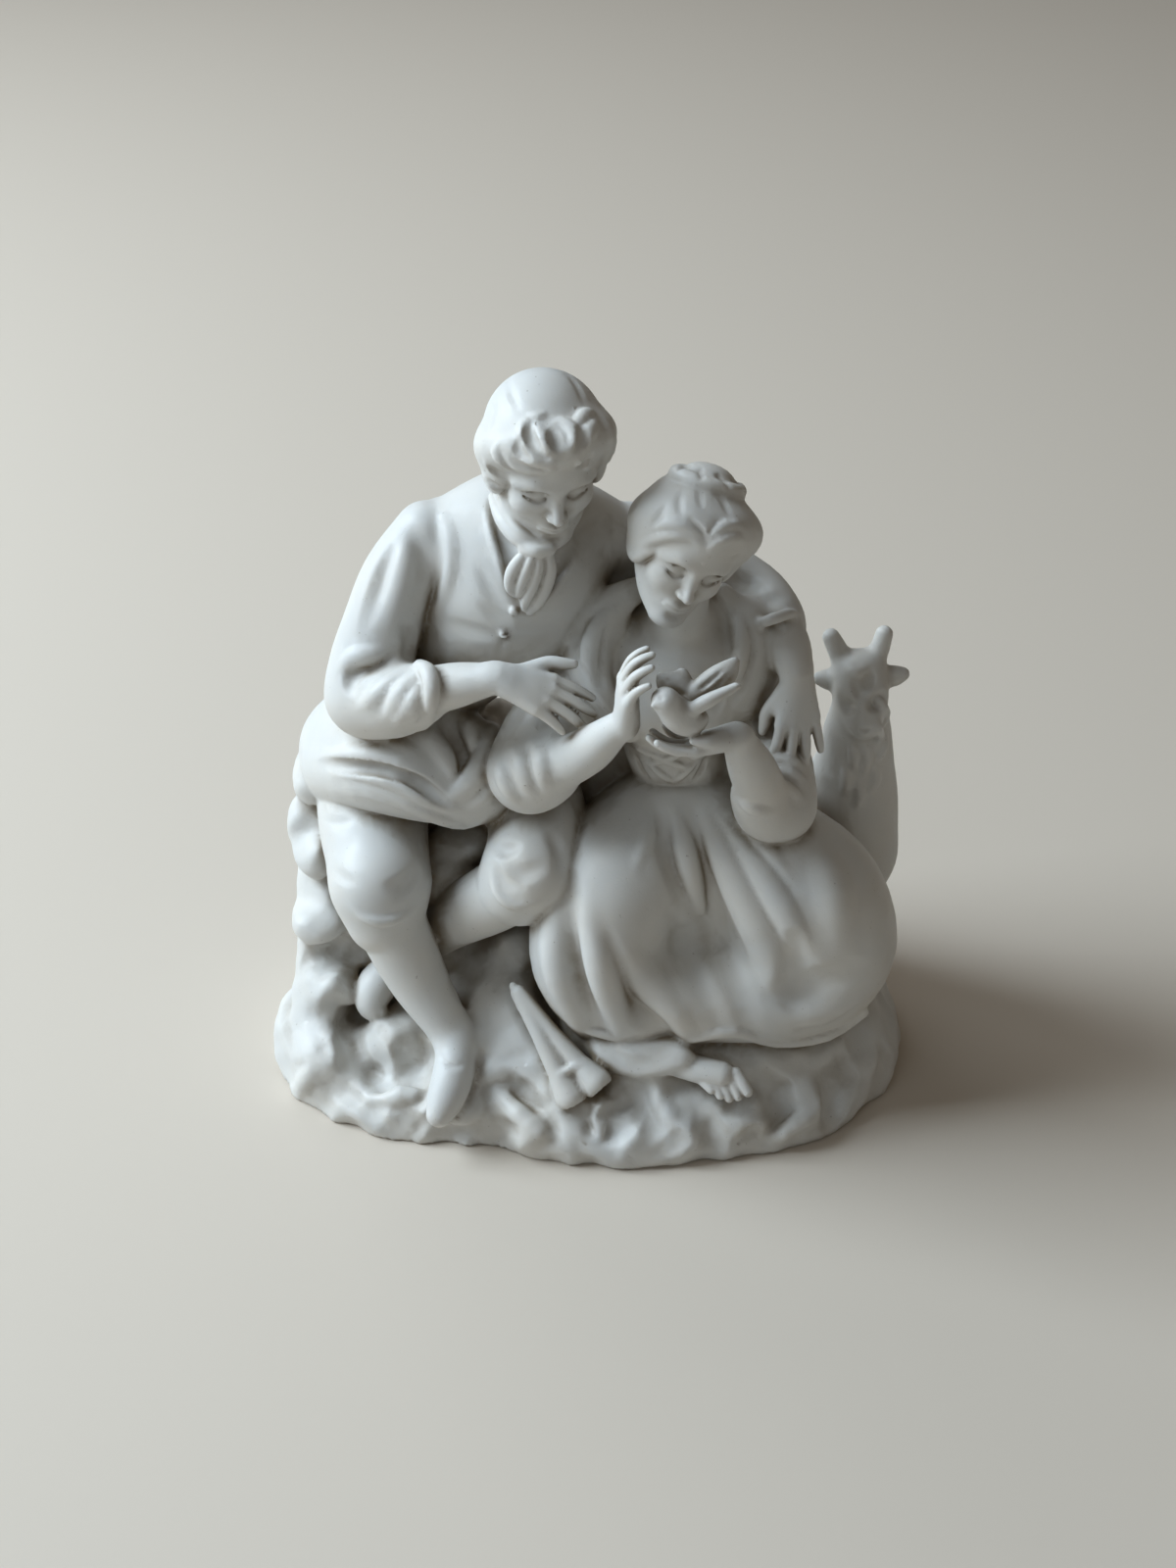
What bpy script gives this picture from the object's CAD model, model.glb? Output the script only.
# Bisque figurine: a seated couple with a small bird, a goat and a pair of pipes on a rocky base.
# The group is modelled like clay. Every form is a set of strokes (tapered chains and egg shapes) that
# melt together, with folds and locks laid on them. The whole is traced on a fine lattice, drawn onto the
# exact surface, thinned, and finished as fired bisque. Lengths are millimetres until the mesh is handed
# to Blender.
import math
import time
from itertools import product

import bmesh
import bpy
import numpy as np
from mathutils import Matrix, Vector


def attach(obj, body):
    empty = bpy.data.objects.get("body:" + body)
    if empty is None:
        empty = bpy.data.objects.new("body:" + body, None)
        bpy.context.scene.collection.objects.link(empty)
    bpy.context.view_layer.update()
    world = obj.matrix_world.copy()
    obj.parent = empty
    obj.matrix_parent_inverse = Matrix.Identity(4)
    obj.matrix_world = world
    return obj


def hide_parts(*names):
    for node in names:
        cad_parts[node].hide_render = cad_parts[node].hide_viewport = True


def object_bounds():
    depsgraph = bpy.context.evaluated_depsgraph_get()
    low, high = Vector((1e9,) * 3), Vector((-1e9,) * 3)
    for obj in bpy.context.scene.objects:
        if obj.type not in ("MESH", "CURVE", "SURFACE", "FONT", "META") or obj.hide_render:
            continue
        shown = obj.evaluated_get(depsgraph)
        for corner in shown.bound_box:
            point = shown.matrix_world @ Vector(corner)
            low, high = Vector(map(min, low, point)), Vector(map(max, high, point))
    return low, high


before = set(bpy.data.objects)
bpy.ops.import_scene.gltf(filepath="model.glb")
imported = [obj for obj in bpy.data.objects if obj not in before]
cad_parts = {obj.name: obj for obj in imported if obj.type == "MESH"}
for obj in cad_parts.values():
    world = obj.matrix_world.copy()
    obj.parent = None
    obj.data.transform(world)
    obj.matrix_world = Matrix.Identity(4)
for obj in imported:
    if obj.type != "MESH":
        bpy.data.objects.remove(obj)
cadLow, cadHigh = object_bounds()
startTime = time.time()


def say(stage):
    print(f"[{time.time() - startTime:6.1f} s] {stage}", flush=True)


clay = {
    "lattice": 0.54,  # spacing of the lattice that the surface is traced on
    "crease": 0.5,                          # how softly two separate forms meet
    "triangles": 190000,                    # kept in the finished mesh
    "far": 1000.0,                          # stands for a place that no stroke reaches
}

# Folds, seams and locks are drawn on the upright plane y = 0 as [x, z, radius], and laid on the surface
# along the sight line of someone who looks at the group from one of these two places.
eye = np.array((0.0, -342.0, 282.0))
behind = np.array((0.0, 400.0, 120.0))


# Strokes

def sin(degrees):
    return math.sin(math.radians(degrees))


def cos(degrees):
    return math.cos(math.radians(degrees))


def add(a, b):
    return [u + v for u, v in zip(a, b)]


def unit(v):
    v = np.asarray(v, float)
    return v / (np.linalg.norm(v) or 1)


def turned(v, turn):  # a vector turned by degrees about X, then Y, then Z
    x, y, z = v
    rx, ry, rz = turn
    y, z = y * cos(rx) - z * sin(rx), y * sin(rx) + z * cos(rx)
    x, z = x * cos(ry) + z * sin(ry), z * cos(ry) - x * sin(ry)
    return np.array((x * cos(rz) - y * sin(rz), x * sin(rz) + y * cos(rz), z))


def melt(a, b, soft):  # smooth minimum: within soft of each other, two distances melt together
    h = np.maximum(soft - np.abs(a - b), 0)
    return np.minimum(a, b) - h * h / (4 * soft)


def segmentDistance(p, a, ra, b, rb):  # a tapered segment with round ends; across is squared
    axis = b - a
    l2 = max(axis @ axis, 1e-9)
    taper = ra - rb
    a2 = l2 - taper * taper
    rel = p - a
    along = rel @ axis
    beyond = along - l2
    across = np.maximum(np.einsum("ij,ij->i", rel, rel) - along * along / l2, 0)
    k = np.sign(taper) * taper * taper * across
    d = (np.sqrt(across * (max(a2, 0) / l2)) + along * (taper / l2)) - ra
    before = along * np.abs(along) * (a2 / l2) < k
    past = beyond * np.abs(beyond) * (a2 / l2) > k
    d[before] = np.sqrt(across[before] + along[before] ** 2 / l2) - ra
    d[past] = np.sqrt(across[past] + beyond[past] ** 2 / l2) - rb
    return d


def through(points, steps=4):  # smooth curve through the points
    points = np.asarray(points, float)
    if len(points) < 3:
        return points
    out = []
    last = len(points) - 1
    for i in range(last):
        p0, p1, p2, p3 = points[max(i - 1, 0)], points[i], points[i + 1], points[min(i + 2, last)]
        for s in range(steps):
            t = s / steps
            out.append(0.5 * (2 * p1 + (p2 - p0) * t + (2 * p0 - 5 * p1 + 4 * p2 - p3) * t * t
                              + (3 * p1 - p0 - 3 * p2 + p3) * t ** 3))
    out.append(points[-1])
    return np.array(out)


def stroke(distance, low, high, soft, carve):
    return {"distance": distance, "low": low, "high": high, "soft": soft, "carve": carve}


# A tapered tube through [x, y, z, radius] points. Squash is a way [x, y, z] and the thickness kept along it
def chain(points, soft=2.0, carve=False, squash=None, smooth=True):
    nodes = through(points) if smooth else np.asarray(points, float)
    spots, girth = nodes[:, :3], np.maximum(nodes[:, 3], 0.05)
    if squash:
        way, kept = unit(squash[:3]), squash[3]
        origin, gain = spots[0], 1 / kept - 1
        cautious = 0.65 * kept + 0.35  # a squashed tube's distance is played down, never overshot
        spots = spots + np.outer((spots - origin) @ way * gain, way)
    a, ra, b, rb = spots[:-1], girth[:-1], spots[1:], girth[1:]
    ends = np.maximum(ra, rb)[:, None]
    segmentLow, segmentHigh = np.minimum(a, b) - ends, np.maximum(a, b) + ends

    def distance(p, reach=None):  # exact within reach of the points' box, far beyond it
        if squash:
            p = p + np.outer((p - origin) @ way * gain, way)
        close = range(len(a))
        if reach is not None:
            reach = reach / cautious if squash else reach
            low, high = p.min(0) - reach, p.max(0) + reach
            close = np.flatnonzero(((segmentLow < high) & (segmentHigh > low)).all(1))
        d = np.full(len(p), clay["far"])
        for i in close:
            d = np.minimum(d, segmentDistance(p, a[i], ra[i], b[i], rb[i]))
        return d * cautious if squash else d

    low = (nodes[:, :3] - nodes[:, 3:]).min(0)
    high = (nodes[:, :3] + nodes[:, 3:]).max(0)
    return stroke(distance, low, high, soft, carve)


def egg(centre, radii, turn=(0, 0, 0), soft=2.0, carve=False):
    centre = np.asarray(centre, float)
    radii = np.asarray(radii, float)
    axes = np.array([turned(v, turn) for v in np.eye(3)]).T

    def distance(p, reach=None):
        q = (p - centre) @ axes / radii
        k0 = np.sqrt((q * q).sum(1))
        k1 = np.sqrt(((q / radii) ** 2).sum(1)) + 1e-9
        return np.where(k0 < 1e-6, -radii.min(), k0 * (k0 - 1) / k1)

    return stroke(distance, centre - radii.max(), centre + radii.max(), soft, carve)


def placed(strokes, place):  # strokes made in a frame of their own, set in place
    origin, axes, size = np.asarray(place["origin"], float), np.array(place["axes"]).T, place["size"]

    def moved(s):
        corners = origin + np.array(list(product(*zip(s["low"], s["high"])))) @ axes.T * size

        def distance(p, reach=None):
            return s["distance"]((p - origin) / size @ axes, reach and reach / size) * size

        return stroke(distance, corners.min(0), corners.max(0), s["soft"] * size, s["carve"])

    return [moved(s) for s in strokes]


def distanceTo(strokes, p):  # to strokes that melt together, in their order
    d = np.full(len(p), clay["far"])
    for s in strokes:
        own = s["distance"](p)
        d = -melt(-d, own, s["soft"]) if s["carve"] else melt(d, own, s["soft"])
    return d


# Folds. A valley and a crest are soft and wide, a cut and a bead are crisp, in between are a tuck and a
# pleat and, finer, a parting and a strand for hair. Their depth or height comes first, then the path.

def foldKind(soft, growth, carve, viewpoint=eye):  # growth: how much softer a millimetre of depth makes it
    def made(size, *path):
        return {"rail": through(path, 3), "size": size, "soft": soft + growth * size, "carve": carve,
                "viewpoint": viewpoint}
    return made


valley = foldKind(0.6, 0.7, carve=True)
crest = foldKind(0.5, 0.6, carve=False)
tuck = foldKind(0.6, 0, carve=True)
pleat = foldKind(0.4, 0, carve=False)
parting = foldKind(0.5, 0, carve=True)
strand = foldKind(0.35, 0, carve=False)
cut = foldKind(0.3, 0, carve=True)
bead = foldKind(0.3, 0, carve=False)
backValley = foldKind(0.6, 0.7, carve=True, viewpoint=behind)
backCrest = foldKind(0.6, 0.9, carve=False, viewpoint=behind)

foldWork = {
    "search": 70,      # how far before and behind the plane the surface is looked for
    "steps": 80,       # at most, along a sight line
    "touch": 0.03,     # this near counts as on the surface
    "slopeStep": 0.2,  # to either side, to find which way the surface faces
    "swell": 2.6,      # how soon a fold comes up from nothing at its ends
    "sunk": 0.3,       # how far its ends lie under the surface
}


# Strokes with folds laid on them: every point slides along its sight line to the surface
def worked(strokes, folds):
    search, touch, slopeStep, sunk = (foldWork[key] for key in ("search", "touch", "slopeStep", "sunk"))
    rails = np.concatenate([f["rail"] for f in folds])
    start = np.concatenate([np.tile(f["viewpoint"], (len(f["rail"]), 1)) for f in folds])
    target = np.stack([rails[:, 0], np.zeros(len(rails)), rails[:, 1]], 1)
    reach = np.linalg.norm(target - start, axis=1)
    sight = (target - start) / reach[:, None]
    t = reach - search
    best, bestAt = np.full(len(t), clay["far"]), reach.copy()
    going = np.arange(len(t))
    for _ in range(foldWork["steps"]):
        d = distanceTo(strokes, start[going] + sight[going] * t[going, None])
        closer = d < best[going]
        best[going[closer]] = d[closer]
        bestAt[going[closer]] = t[going[closer]]
        t[going] += np.maximum(d * 0.8, touch)
        going = going[(d >= touch) & (t[going] < reach[going] + search)]
        if not len(going):
            break
    spots = start + sight * bestAt[:, None]
    sides = [distanceTo(strokes, spots + slopeStep * e) - distanceTo(strokes, spots - slopeStep * e)
             for e in np.eye(3)]
    slope = np.stack(sides, 1)
    normals = slope / np.maximum(np.linalg.norm(slope, axis=1), 1e-9)[:, None]
    out, first = list(strokes), 0
    for f in folds:
        count = len(f["rail"])
        radius = f["rail"][:, 2]
        share = np.arange(count) / (count - 1)
        swell = np.minimum(1, foldWork["swell"] * np.minimum(share, 1 - share))
        if f["carve"]:
            lift = radius - f["size"] * swell + sunk * (1 - swell)
        else:
            lift = f["size"] * swell - radius - sunk * (1 - swell)
        here = slice(first, first + count)
        nodes = np.column_stack([spots[here] + normals[here] * lift[:, None], radius])
        out.append(chain(nodes, soft=f["soft"], carve=f["carve"], smooth=False))
        first += count
    return out


def both(make):
    return make(-1) + make(1)


forms = []


def form(strokes, join=None, grain=None):
    forms.append({"strokes": strokes, "join": clay["crease"] if join is None else join, "grain": grain})


# Heads, hands and loose rock

def face(jaw=1.0, nose=1.0):
    def half(side):
        return [
            chain([[side * 5.9, 0.6, -4.2, 1.6], [side * 4.7 * jaw, -2.8, -7.8, 1.7],
                [side * 2 * jaw, -6, -10.3, 1.5]], soft=3),
            egg([side * 3.9, -5.3, -2.9], [2.4, 2.4, 2.3], soft=2.2),
            chain([[side * 1.2, -8, 1.8, 0.75], [side * 3.5, -7.7, 2.5, 0.8], [side * 5.8, -5.4, 1.4, 0.7]],
                soft=1.8),
            egg([side * 3.2, -9.7, 0], [2.3, 2.2, 1.55], soft=1.3, carve=True),
            egg([side * 3.15, -5.9, -0.1], [2, 1.85, 1.6], soft=0.5),
            chain([[side * 1.5, -7.1, -1.3, 0.4], [side * 3.1, -7.5, -1.9, 0.4],
                [side * 4.7, -6.6, -1.2, 0.4]], soft=0.7),
            chain([[side * 1.3, -7.6, -0.4, 0.16], [side * 2.9, -8, -1.15, 0.19],
                [side * 4.9, -6.9, -0.45, 0.16]], soft=0.4, carve=True),
            chain([[side * 1.5, -7.8, 0.8, 0.2], [side * 3.1, -8, 1.35, 0.22],
                [side * 4.9, -6.8, 0.7, 0.2]], soft=0.5, carve=True),
        ]

    def halfNose(side):
        return [
            egg([side * 1.05, -9.1, -3.7 * nose], [0.65, 0.95, 0.65], soft=0.6),
            egg([side * 0.6, -10.1, -4.55 * nose], [0.22, 0.4, 0.22], soft=0.3, carve=True),
            chain([[side * 2.3, -7.9, -6.5, 0.25], [side * 1, -8.6, -6.15, 0.5], [0, -8.7, -6.3, 0.45]],
                soft=0.8),
            egg([side * 2.8, -8.4, -6.55], [0.35, 0.6, 0.4], soft=0.6, carve=True),
        ]

    return [
        egg([0, 1.2, 3.6], [7.5, 9.6, 8.4], soft=3),
        egg([0, -3.3, 4.4], [6.2, 5.3, 5.4], soft=3),
        egg([0, -2.6, -2.4], [6.2, 6, 6.8], soft=3),
        egg([0, -5.2, -6.6], [3.3, 3.3, 2.9], soft=2.4),
        *both(half),
        egg([0, -6.9, -10], [2.2, 2, 1.8], soft=2),
        chain([[0, -7.9, 1.8, 0.9], [0, -8.4, -0.2, 0.72], [0, -9.4, -2.2, 0.8],
            [0, -10.1, -3.5 * nose, 0.96]], soft=1.4),
        *both(halfNose),
        chain([[-1.9, -8, -6.95, 0.25], [0, -8.5, -7.35, 0.6], [1.9, -8, -6.95, 0.25]], soft=0.8),
        chain([[-2.4, -8.5, -6.5, 0.15], [-1.1, -9.2, -6.68, 0.15], [0, -9.25, -6.8, 0.15],
            [1.1, -9.2, -6.68, 0.15], [2.4, -8.5, -6.5, 0.15]], soft=0.3, carve=True),
        chain([[0, -9.5, -4.9, 0.3], [0, -9.6, -5.7, 0.3]], soft=0.5, carve=True),
        egg([0, -9.5, -8.6], [1.7, 0.9, 0.5], soft=0.9, carve=True),
    ]


# Azimuth 0 is over the face and 90 over the left ear, elevation 90 is the crown
def scalpOf(centre, radii):
    def spot(azimuth, elevation, lift=0.0):
        return [centre[0] + radii[0] * (1 + lift) * sin(azimuth) * cos(elevation),
                centre[1] - radii[1] * (1 + lift) * cos(azimuth) * cos(elevation),
                centre[2] + radii[2] * (1 + lift) * sin(elevation)]
    return spot


def lock(scalp, places, soft=2.0):
    points = [[*scalp(azimuth, elevation, lift), radius] for azimuth, elevation, lift, radius in places]
    return chain(points, soft=soft)


def hairMass(centre, radii, side=7.8, opening=(7.2, 8), fringe=()):
    return [
        egg(centre, radii, soft=1),
        egg([0, 6.6, -3.4], [7.2, 4.8, 5], soft=3),
        *both(lambda sign: [egg([sign * side, 0.8, -0.6], [2.1, 4.6, 5], soft=2.6)]),
        egg([0, -12.9, -4], [opening[0], 8.8, opening[1] + 4], soft=0.6, carve=True),
        *fringe,
    ]


def shortHair():
    centre, radii = [0, 1.8, 4.3], [9.4, 10.2, 9]
    fringe = lock(scalpOf(centre, radii), [
        [-88, -12, -0.1, 2.1], [-72, 6, -0.08, 2.2], [-48, 22, -0.06, 2.2], [-22, 30, -0.04, 2.3],
        [6, 31, -0.03, 2.5], [34, 29, -0.04, 2.4], [62, 18, -0.06, 2.3], [84, -4, -0.1, 2.2]], soft=3.4)
    return hairMass(centre, radii, opening=[7.2, 7], fringe=[fringe])


def rolledHair():
    centre, radii = [0, 1.4, 3.9], [9.7, 9.7, 8.5]
    scalp = scalpOf(centre, radii)
    knot = scalp(180, 66, -0.16)
    ring, twists = [], []
    for step in range(13):
        out = [5.6 * cos(30 * step), 4.6 * sin(30 * step), 0]
        ring.append([*add(knot, turned(out, [-26, 0, 0])), 1.35])
    for step in range(8):
        ends = []
        for i, (rx, ry, rz, girth) in enumerate([(4.4, 3.5, 1.3, 0.3), (6.6, 5.6, 0.5, 0.3)]):
            bearing = 45 * step + 14 * i
            out = turned([rx * cos(bearing), ry * sin(bearing), rz + 0.6], [-26, 0, 0])
            ends.append([*add(knot, out), girth])
        twists.append(chain(ends, soft=0.8, carve=True))
    return [
        *hairMass(centre, radii, side=7.7, opening=[6.9, 7.8]),
        *both(lambda side: [lock(scalp, [
            [side * 2, 26, -0.12, 1.6], [side * 22, 36, -0.12, 2.4], [side * 50, 30, -0.12, 2.8],
            [side * 76, 12, -0.1, 2.8], [side * 94, -10, -0.14, 2.3]], soft=4)]),
        egg(scalp(0, 25, -0.06), [1.5, 1.2, 2.4], soft=1.4),
        chain(ring, soft=1),
        egg(add(knot, [0, 0.3, 0.4]), [4.8, 4.2, 2.6], turn=[-26, 0, 0], soft=0.8),
        *twists,
    ]


def hand(wrist, fingers, back, size=1.0, mirror=False, bends=(20, 25, 30, 35), fan=(6, 1, -4, -10),
         thumb=(9.5, 6.5, -1.5), reach=1.0):
    ex = unit(fingers)
    ez = unit(np.asarray(back, float) - ex * np.dot(back, ex))
    ey = np.cross(ez, ex) * (-1 if mirror else 1)
    knuckles = [[8.6, 3.1, 0], [9.1, 1.1, 0.25], [8.7, -0.95, 0.15], [7.7, -2.8, -0.2]]
    lengths = [7.2, 8.1, 7.5, 5.9]
    shares = [0.46, 0.3, 0.24]
    girths = [1.12, 1, 0.9, 0.68]
    strokes = [
        chain([[-1, 0, 0, 2.1], [2, 0.2, -0.2, 2.3], [5, 0.2, -0.3, 2.5]], soft=1.5,
            squash=[0, 0, 1, 0.72]),
        *[chain([[2, y * 0.4, -0.1, 1.7], [x - 0.4, y, z, 1.25]], soft=1.4) for x, y, z in knuckles],
        egg([4.4, 1.9, -0.9], [2.6, 1.8, 1.5], turn=[0, 0, 28], soft=1.4),
    ]
    for i, knuckle in enumerate(knuckles):
        spot, bend = np.array(knuckle, float), 0
        points = [[*spot, girths[0]]]
        for j, share in enumerate(shares):
            bend += bends[i] * (0.38, 0.36, 0.26)[j]
            aim = np.array((cos(bend) * cos(fan[i]), cos(bend) * sin(fan[i]), -sin(bend)))
            spot = spot + aim * lengths[i] * share * reach
            points.append([*spot, girths[j + 1] * (0.88 if i == 3 else 1)])
        strokes.append(chain(points, soft=0.45))
    root, thumb = np.array((3, 2.6, -0.7)), np.asarray(thumb, float)
    bow = (root + thumb) / 2 + unit(np.cross([0, 0, 1], thumb - root)) * 0.9
    strokes.append(chain([[*root, 1.5], [*bow, 1.25], [*(bow + (thumb - bow) * 0.55), 1.12],
        [*thumb, 0.78]], soft=0.9))
    return placed(strokes, {"origin": wrist, "axes": [ex, ey, ez], "size": size})


def headAt(origin, nod, turn, lean, size):  # from chin to crown a head is 24 times its size
    axes = [turned(turned(turned(v, [0, lean, 0]), [nod, 0, 0]), [0, 0, turn]) for v in np.eye(3)]
    return {"origin": origin, "axes": axes, "size": size}


# Short strokes of a modelling tool, scattered over the front of the rock
def toolMarks(count, across, heights):
    marks = []
    for i in range(count):
        x = across[0] + (across[1] - across[0]) * (i + 0.5) / count
        z = heights[0] + (heights[1] - heights[0]) * (0.5 + 0.5 * sin(i * 137))
        bearing = 60 + 50 * sin(i * 71)
        half = 5 + 1.8 * sin(i * 97)
        out = [half * cos(bearing), half * sin(bearing)]
        girth = 2.2 + 0.6 * sin(i * 53)
        make = tuck if i % 4 else crest
        ends = [[x + sign * out[0], z + sign * out[1], girth * 0.6] for sign in (-1, 1)]
        marks.append(make(0.8 + 0.3 * sin(i * 29), ends[0], [x + 0.8, z, girth], ends[1]))
    return marks


def rockGrain(p):  # the chipped surface of the rock, as a rise and fall of its skin
    x, y, z = np.radians(p.T)
    scoops = np.sin(19 * x + np.radians(60) * np.sin(11 * z + 8 * y))
    scoops *= np.sin(18 * z - 13 * y + np.radians(50) * np.sin(10 * x))
    chips = np.sin(52 * x + np.radians(50) * np.sin(30 * y)) * np.sin(56 * z + 20 * y)
    grit = np.sin(140 * x + 2 * np.sin(120 * z)) * np.sin(150 * z + 90 * y + 2 * np.sin(130 * y))
    return 1.1 * np.hypot(scoops, 0.2) + 0.14 * chips - 0.4 + 0.03 * grit


def rubble(count, ring, heights, size, soft):
    lumps = []
    for i in range(count):
        bearing = i * 360 / count + 11 * sin(i * 71)
        spread = 1 + 0.05 * sin(i * 133)
        girth = size * (1 + 0.35 * sin(i * 97))
        height = heights[0] + (heights[1] - heights[0]) * (0.5 + 0.5 * sin(i * 167))
        lumps.append(egg([ring[0] * spread * cos(bearing), ring[1] * spread * sin(bearing), height],
            [girth * 1.3, girth, girth * 0.8], turn=[20 * sin(i * 59), 20 * cos(i * 83), bearing + 90],
            soft=soft))
    return lumps


# Rock
form(worked([
    egg([0, 0, -6], [57, 35, 11], soft=4),
    chain([[-53, -4, 1.5, 6], [-50, -13, 1.5, 6], [-44, -18.5, 2, 6], [-34, -23, 2.5, 6], [-22, -24, 3, 6],
        [-9, -24.5, 3, 6], [0, -29, 2.5, 6.4], [9, -30, 2.5, 6.4], [24, -28, 2.5, 6], [38, -25, 2.5, 6],
        [44, -20, 2.5, 6], [51, -11, 2.5, 6], [53, -2, 4, 6.4]], soft=5),
    chain([[53, -2, 4, 6.4], [50, 12, 4, 8], [34, 25, 4, 9], [6, 30, 4, 9], [-24, 29, 4, 9],
        [-46, 17, 4, 8.5], [-53, -4, 3, 6.6]], soft=5),
    egg([-30, 14, 18], [23, 19, 32], soft=7),
    egg([-8, 16, 22], [18, 15, 26], soft=8),
    egg([18, 8, 14], [36, 26, 18], soft=6),
    egg([18, -16, 6], [30, 14, 9], soft=5),
    egg([-20, -4, 6], [26, 17, 10], turn=[14, 0, 0], soft=6),
    *rubble(17, [52, 29], [2, 7], 4.6, 3),
    *rubble(11, [43, 22], [9, 15], 5, 4),
    chain([[-51.9, -6, 10.5, 5], [-50.5, 0, 18.8, 5], [-48.7, 4, 29.7, 6.4], [-50, 7, 36.7, 5],
        [-50.3, 9, 46.5, 6]], soft=5),
    chain([[-13.9, -12, 17.7, 5], [-10, -18, 14.4, 5], [-5.1, -23, 10.4, 4.4]], soft=4),
    egg([-50.4, 9, 56.3], [4, 7, 5], soft=3),
    egg([-50.1, 4, 42.6], [4.4, 6, 4.8], soft=1.8),
    egg([-50.1, 0, 29.7], [5.4, 6, 4.4], soft=1.6),
    egg([-49, -5, 16.8], [6, 6, 7], soft=2),
    chain([[-23.1, 0, 20.4, 5], [-18.5, -4, 20.7, 5], [-12.8, -4, 27.6, 5]], soft=5),
    egg([-17.3, -9, 17.1], [10, 8, 6], soft=5),
    egg([-16.8, -16, 11.1], [9, 8, 5], soft=5),
    egg([-48.9, -13, 7.9], [6, 7, 6], soft=4),
    egg([-36.6, -12, 9.6], [7, 7, 6.4], soft=2.4),
    chain([[21, -19, 13.6, 5.4], [30.9, -18, 11.8, 6], [41.6, -14, 9.9, 6.6], [48.9, -7, 8.9, 7.4]],
        soft=4),
    egg([18, -27, 4.4], [10, 7, 5], soft=4),
    egg([49.2, -8, 2.5], [8, 10, 8], soft=4),
    egg([-7.2, -24, 6.5], [9, 7, 4], soft=4),
    egg([-26.9, -1, 37.8], [9, 6, 8], turn=[0, 30, 0], soft=1.4),
    egg([-23.6, 2, 45.3], [9, 5, 4], turn=[0, -12, 0], soft=0.8),
], [
    valley(2.4, [-44.4, 6.8, 2.4], [-42.6, -1.7, 4], [-40.3, -10.5, 3.4], [-37.6, -19.4, 2.4]),
    valley(1.8, [-35.9, 0.7, 2], [-35.9, -8, 3], [-32.8, -15.6, 2.4]),
    valley(1.8, [-52.7, 8, 2.4], [-47.6, 4.4, 3.4], [-46.9, -3, 3], [-48.4, -10.5, 2.4]),
    crest(1.3, [-50.9, 12.4, 1.6], [-46.7, 12.8, 2.4], [-42.7, 10.4, 1.6]),
    valley(1.8, [-52, 17.6, 2], [-47.5, 21.1, 3], [-42.3, 24.1, 2]),
    valley(1.6, [-19.2, -3, 2.4], [-16.5, -11.8, 4], [-10.2, -19.4, 3.4], [-5.9, -26, 2.4]),
    crest(1.3, [-19.4, -12.3, 1.6], [-14.1, -18.9, 2.4], [-8.7, -24.6, 1.6]),
    crest(1.5, [-0.8, -14.3, 1.6], [2.9, -17.9, 2.6], [7.8, -18.4, 1.6]),
    valley(2, [-1.6, -18.9, 1.4], [3.5, -22.6, 2.4], [8.8, -22, 1.6]),
    valley(1.8, [10.7, -11.3, 1.4], [11.7, -17.4, 2.2], [13.8, -24.6, 1.6]),
    crest(1.1, [14, -12.3, 1.6], [16.5, -19.4, 2.4], [19.7, -26, 1.6]),
    valley(1.8, [20.2, -14.3, 1.6], [23.9, -21, 2.6], [25.8, -28.9, 2]),
    crest(1, [27.8, -19.4, 1.6], [32.2, -22, 2.2], [36.5, -21, 1.6]),
    valley(2, [34.1, -9.2, 2], [39.1, -16.9, 3.2], [40.7, -27.3, 2.4]),
    valley(2, [45.9, -7.2, 1.6], [49.1, -14.8, 2.6], [49.2, -23.3, 2]),
    crest(1, [51.7, -6.7, 1.6], [54.3, -5.7, 2.2], [56.7, -1.7, 1.6]),
    valley(1.4, [-57.4, -6.2, 1.6], [-50.8, -11.3, 2.4], [-44.5, -16.9, 2], [-40.1, -22.6, 1.6]),
    valley(1.2, [-35.3, -20, 1.6], [-27.2, -23.6, 2.2], [-19.7, -22, 1.6]),
    *toolMarks(24, [-60, 58], [-28, 6]),
    backValley(2.4, [-44, 44, 2], [-40, 28, 3.4], [-46, 12, 2.4]),
    backValley(2.4, [-22, 40, 2], [-26, 24, 3.6], [-18, 10, 2.6]),
    backValley(2, [-34, 30, 2], [-24, 22, 3], [-8, 20, 2]),
    backCrest(1.6, [-34, 42, 2], [-32, 30, 3], [-36, 16, 2]),
    backValley(2, [2, 16, 2], [6, 8, 3], [0, 2, 2]),
    backValley(2, [28, 14, 2], [34, 7, 3], [30, 1, 2]),
]), grain=rockGrain)

# Man's right leg
form(worked([
    chain([[-39.3, 8, 54.8, 11], [-39.3, 1, 51.2, 10], [-38.3, -5, 47.9, 9.4], [-37.5, -10, 45.4, 8.8]],
        soft=4),
    chain([[-37.5, -10, 45.4, 8.6], [-37.1, -11.2, 41.4, 7.7], [-36.8, -12, 39.4, 7.2]], soft=2.5),
], [
    pleat(1, [-45.4, 34, 0.9], [-42.3, 30.3, 1.25], [-38.4, 29.2, 1.25], [-33.8, 31, 1.25],
        [-29.6, 35.8, 0.9]),
    valley(0.8, [-35.9, 34.7, 1], [-33.2, 37.8, 1.6], [-31.6, 41.8, 1.2]),
    tuck(0.56, [-38, 36.9, 1.3], [-35, 37.8, 1.9], [-32.3, 40.5, 1.4]),
    tuck(0.4, [-48.3, 52.3, 1.2], [-45.5, 51.4, 1.7], [-42.6, 52.3, 1.2]),
    tuck(0.4, [-47.9, 41.8, 1.2], [-45.5, 39.1, 1.7], [-42.7, 37.8, 1.2]),
]))
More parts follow.
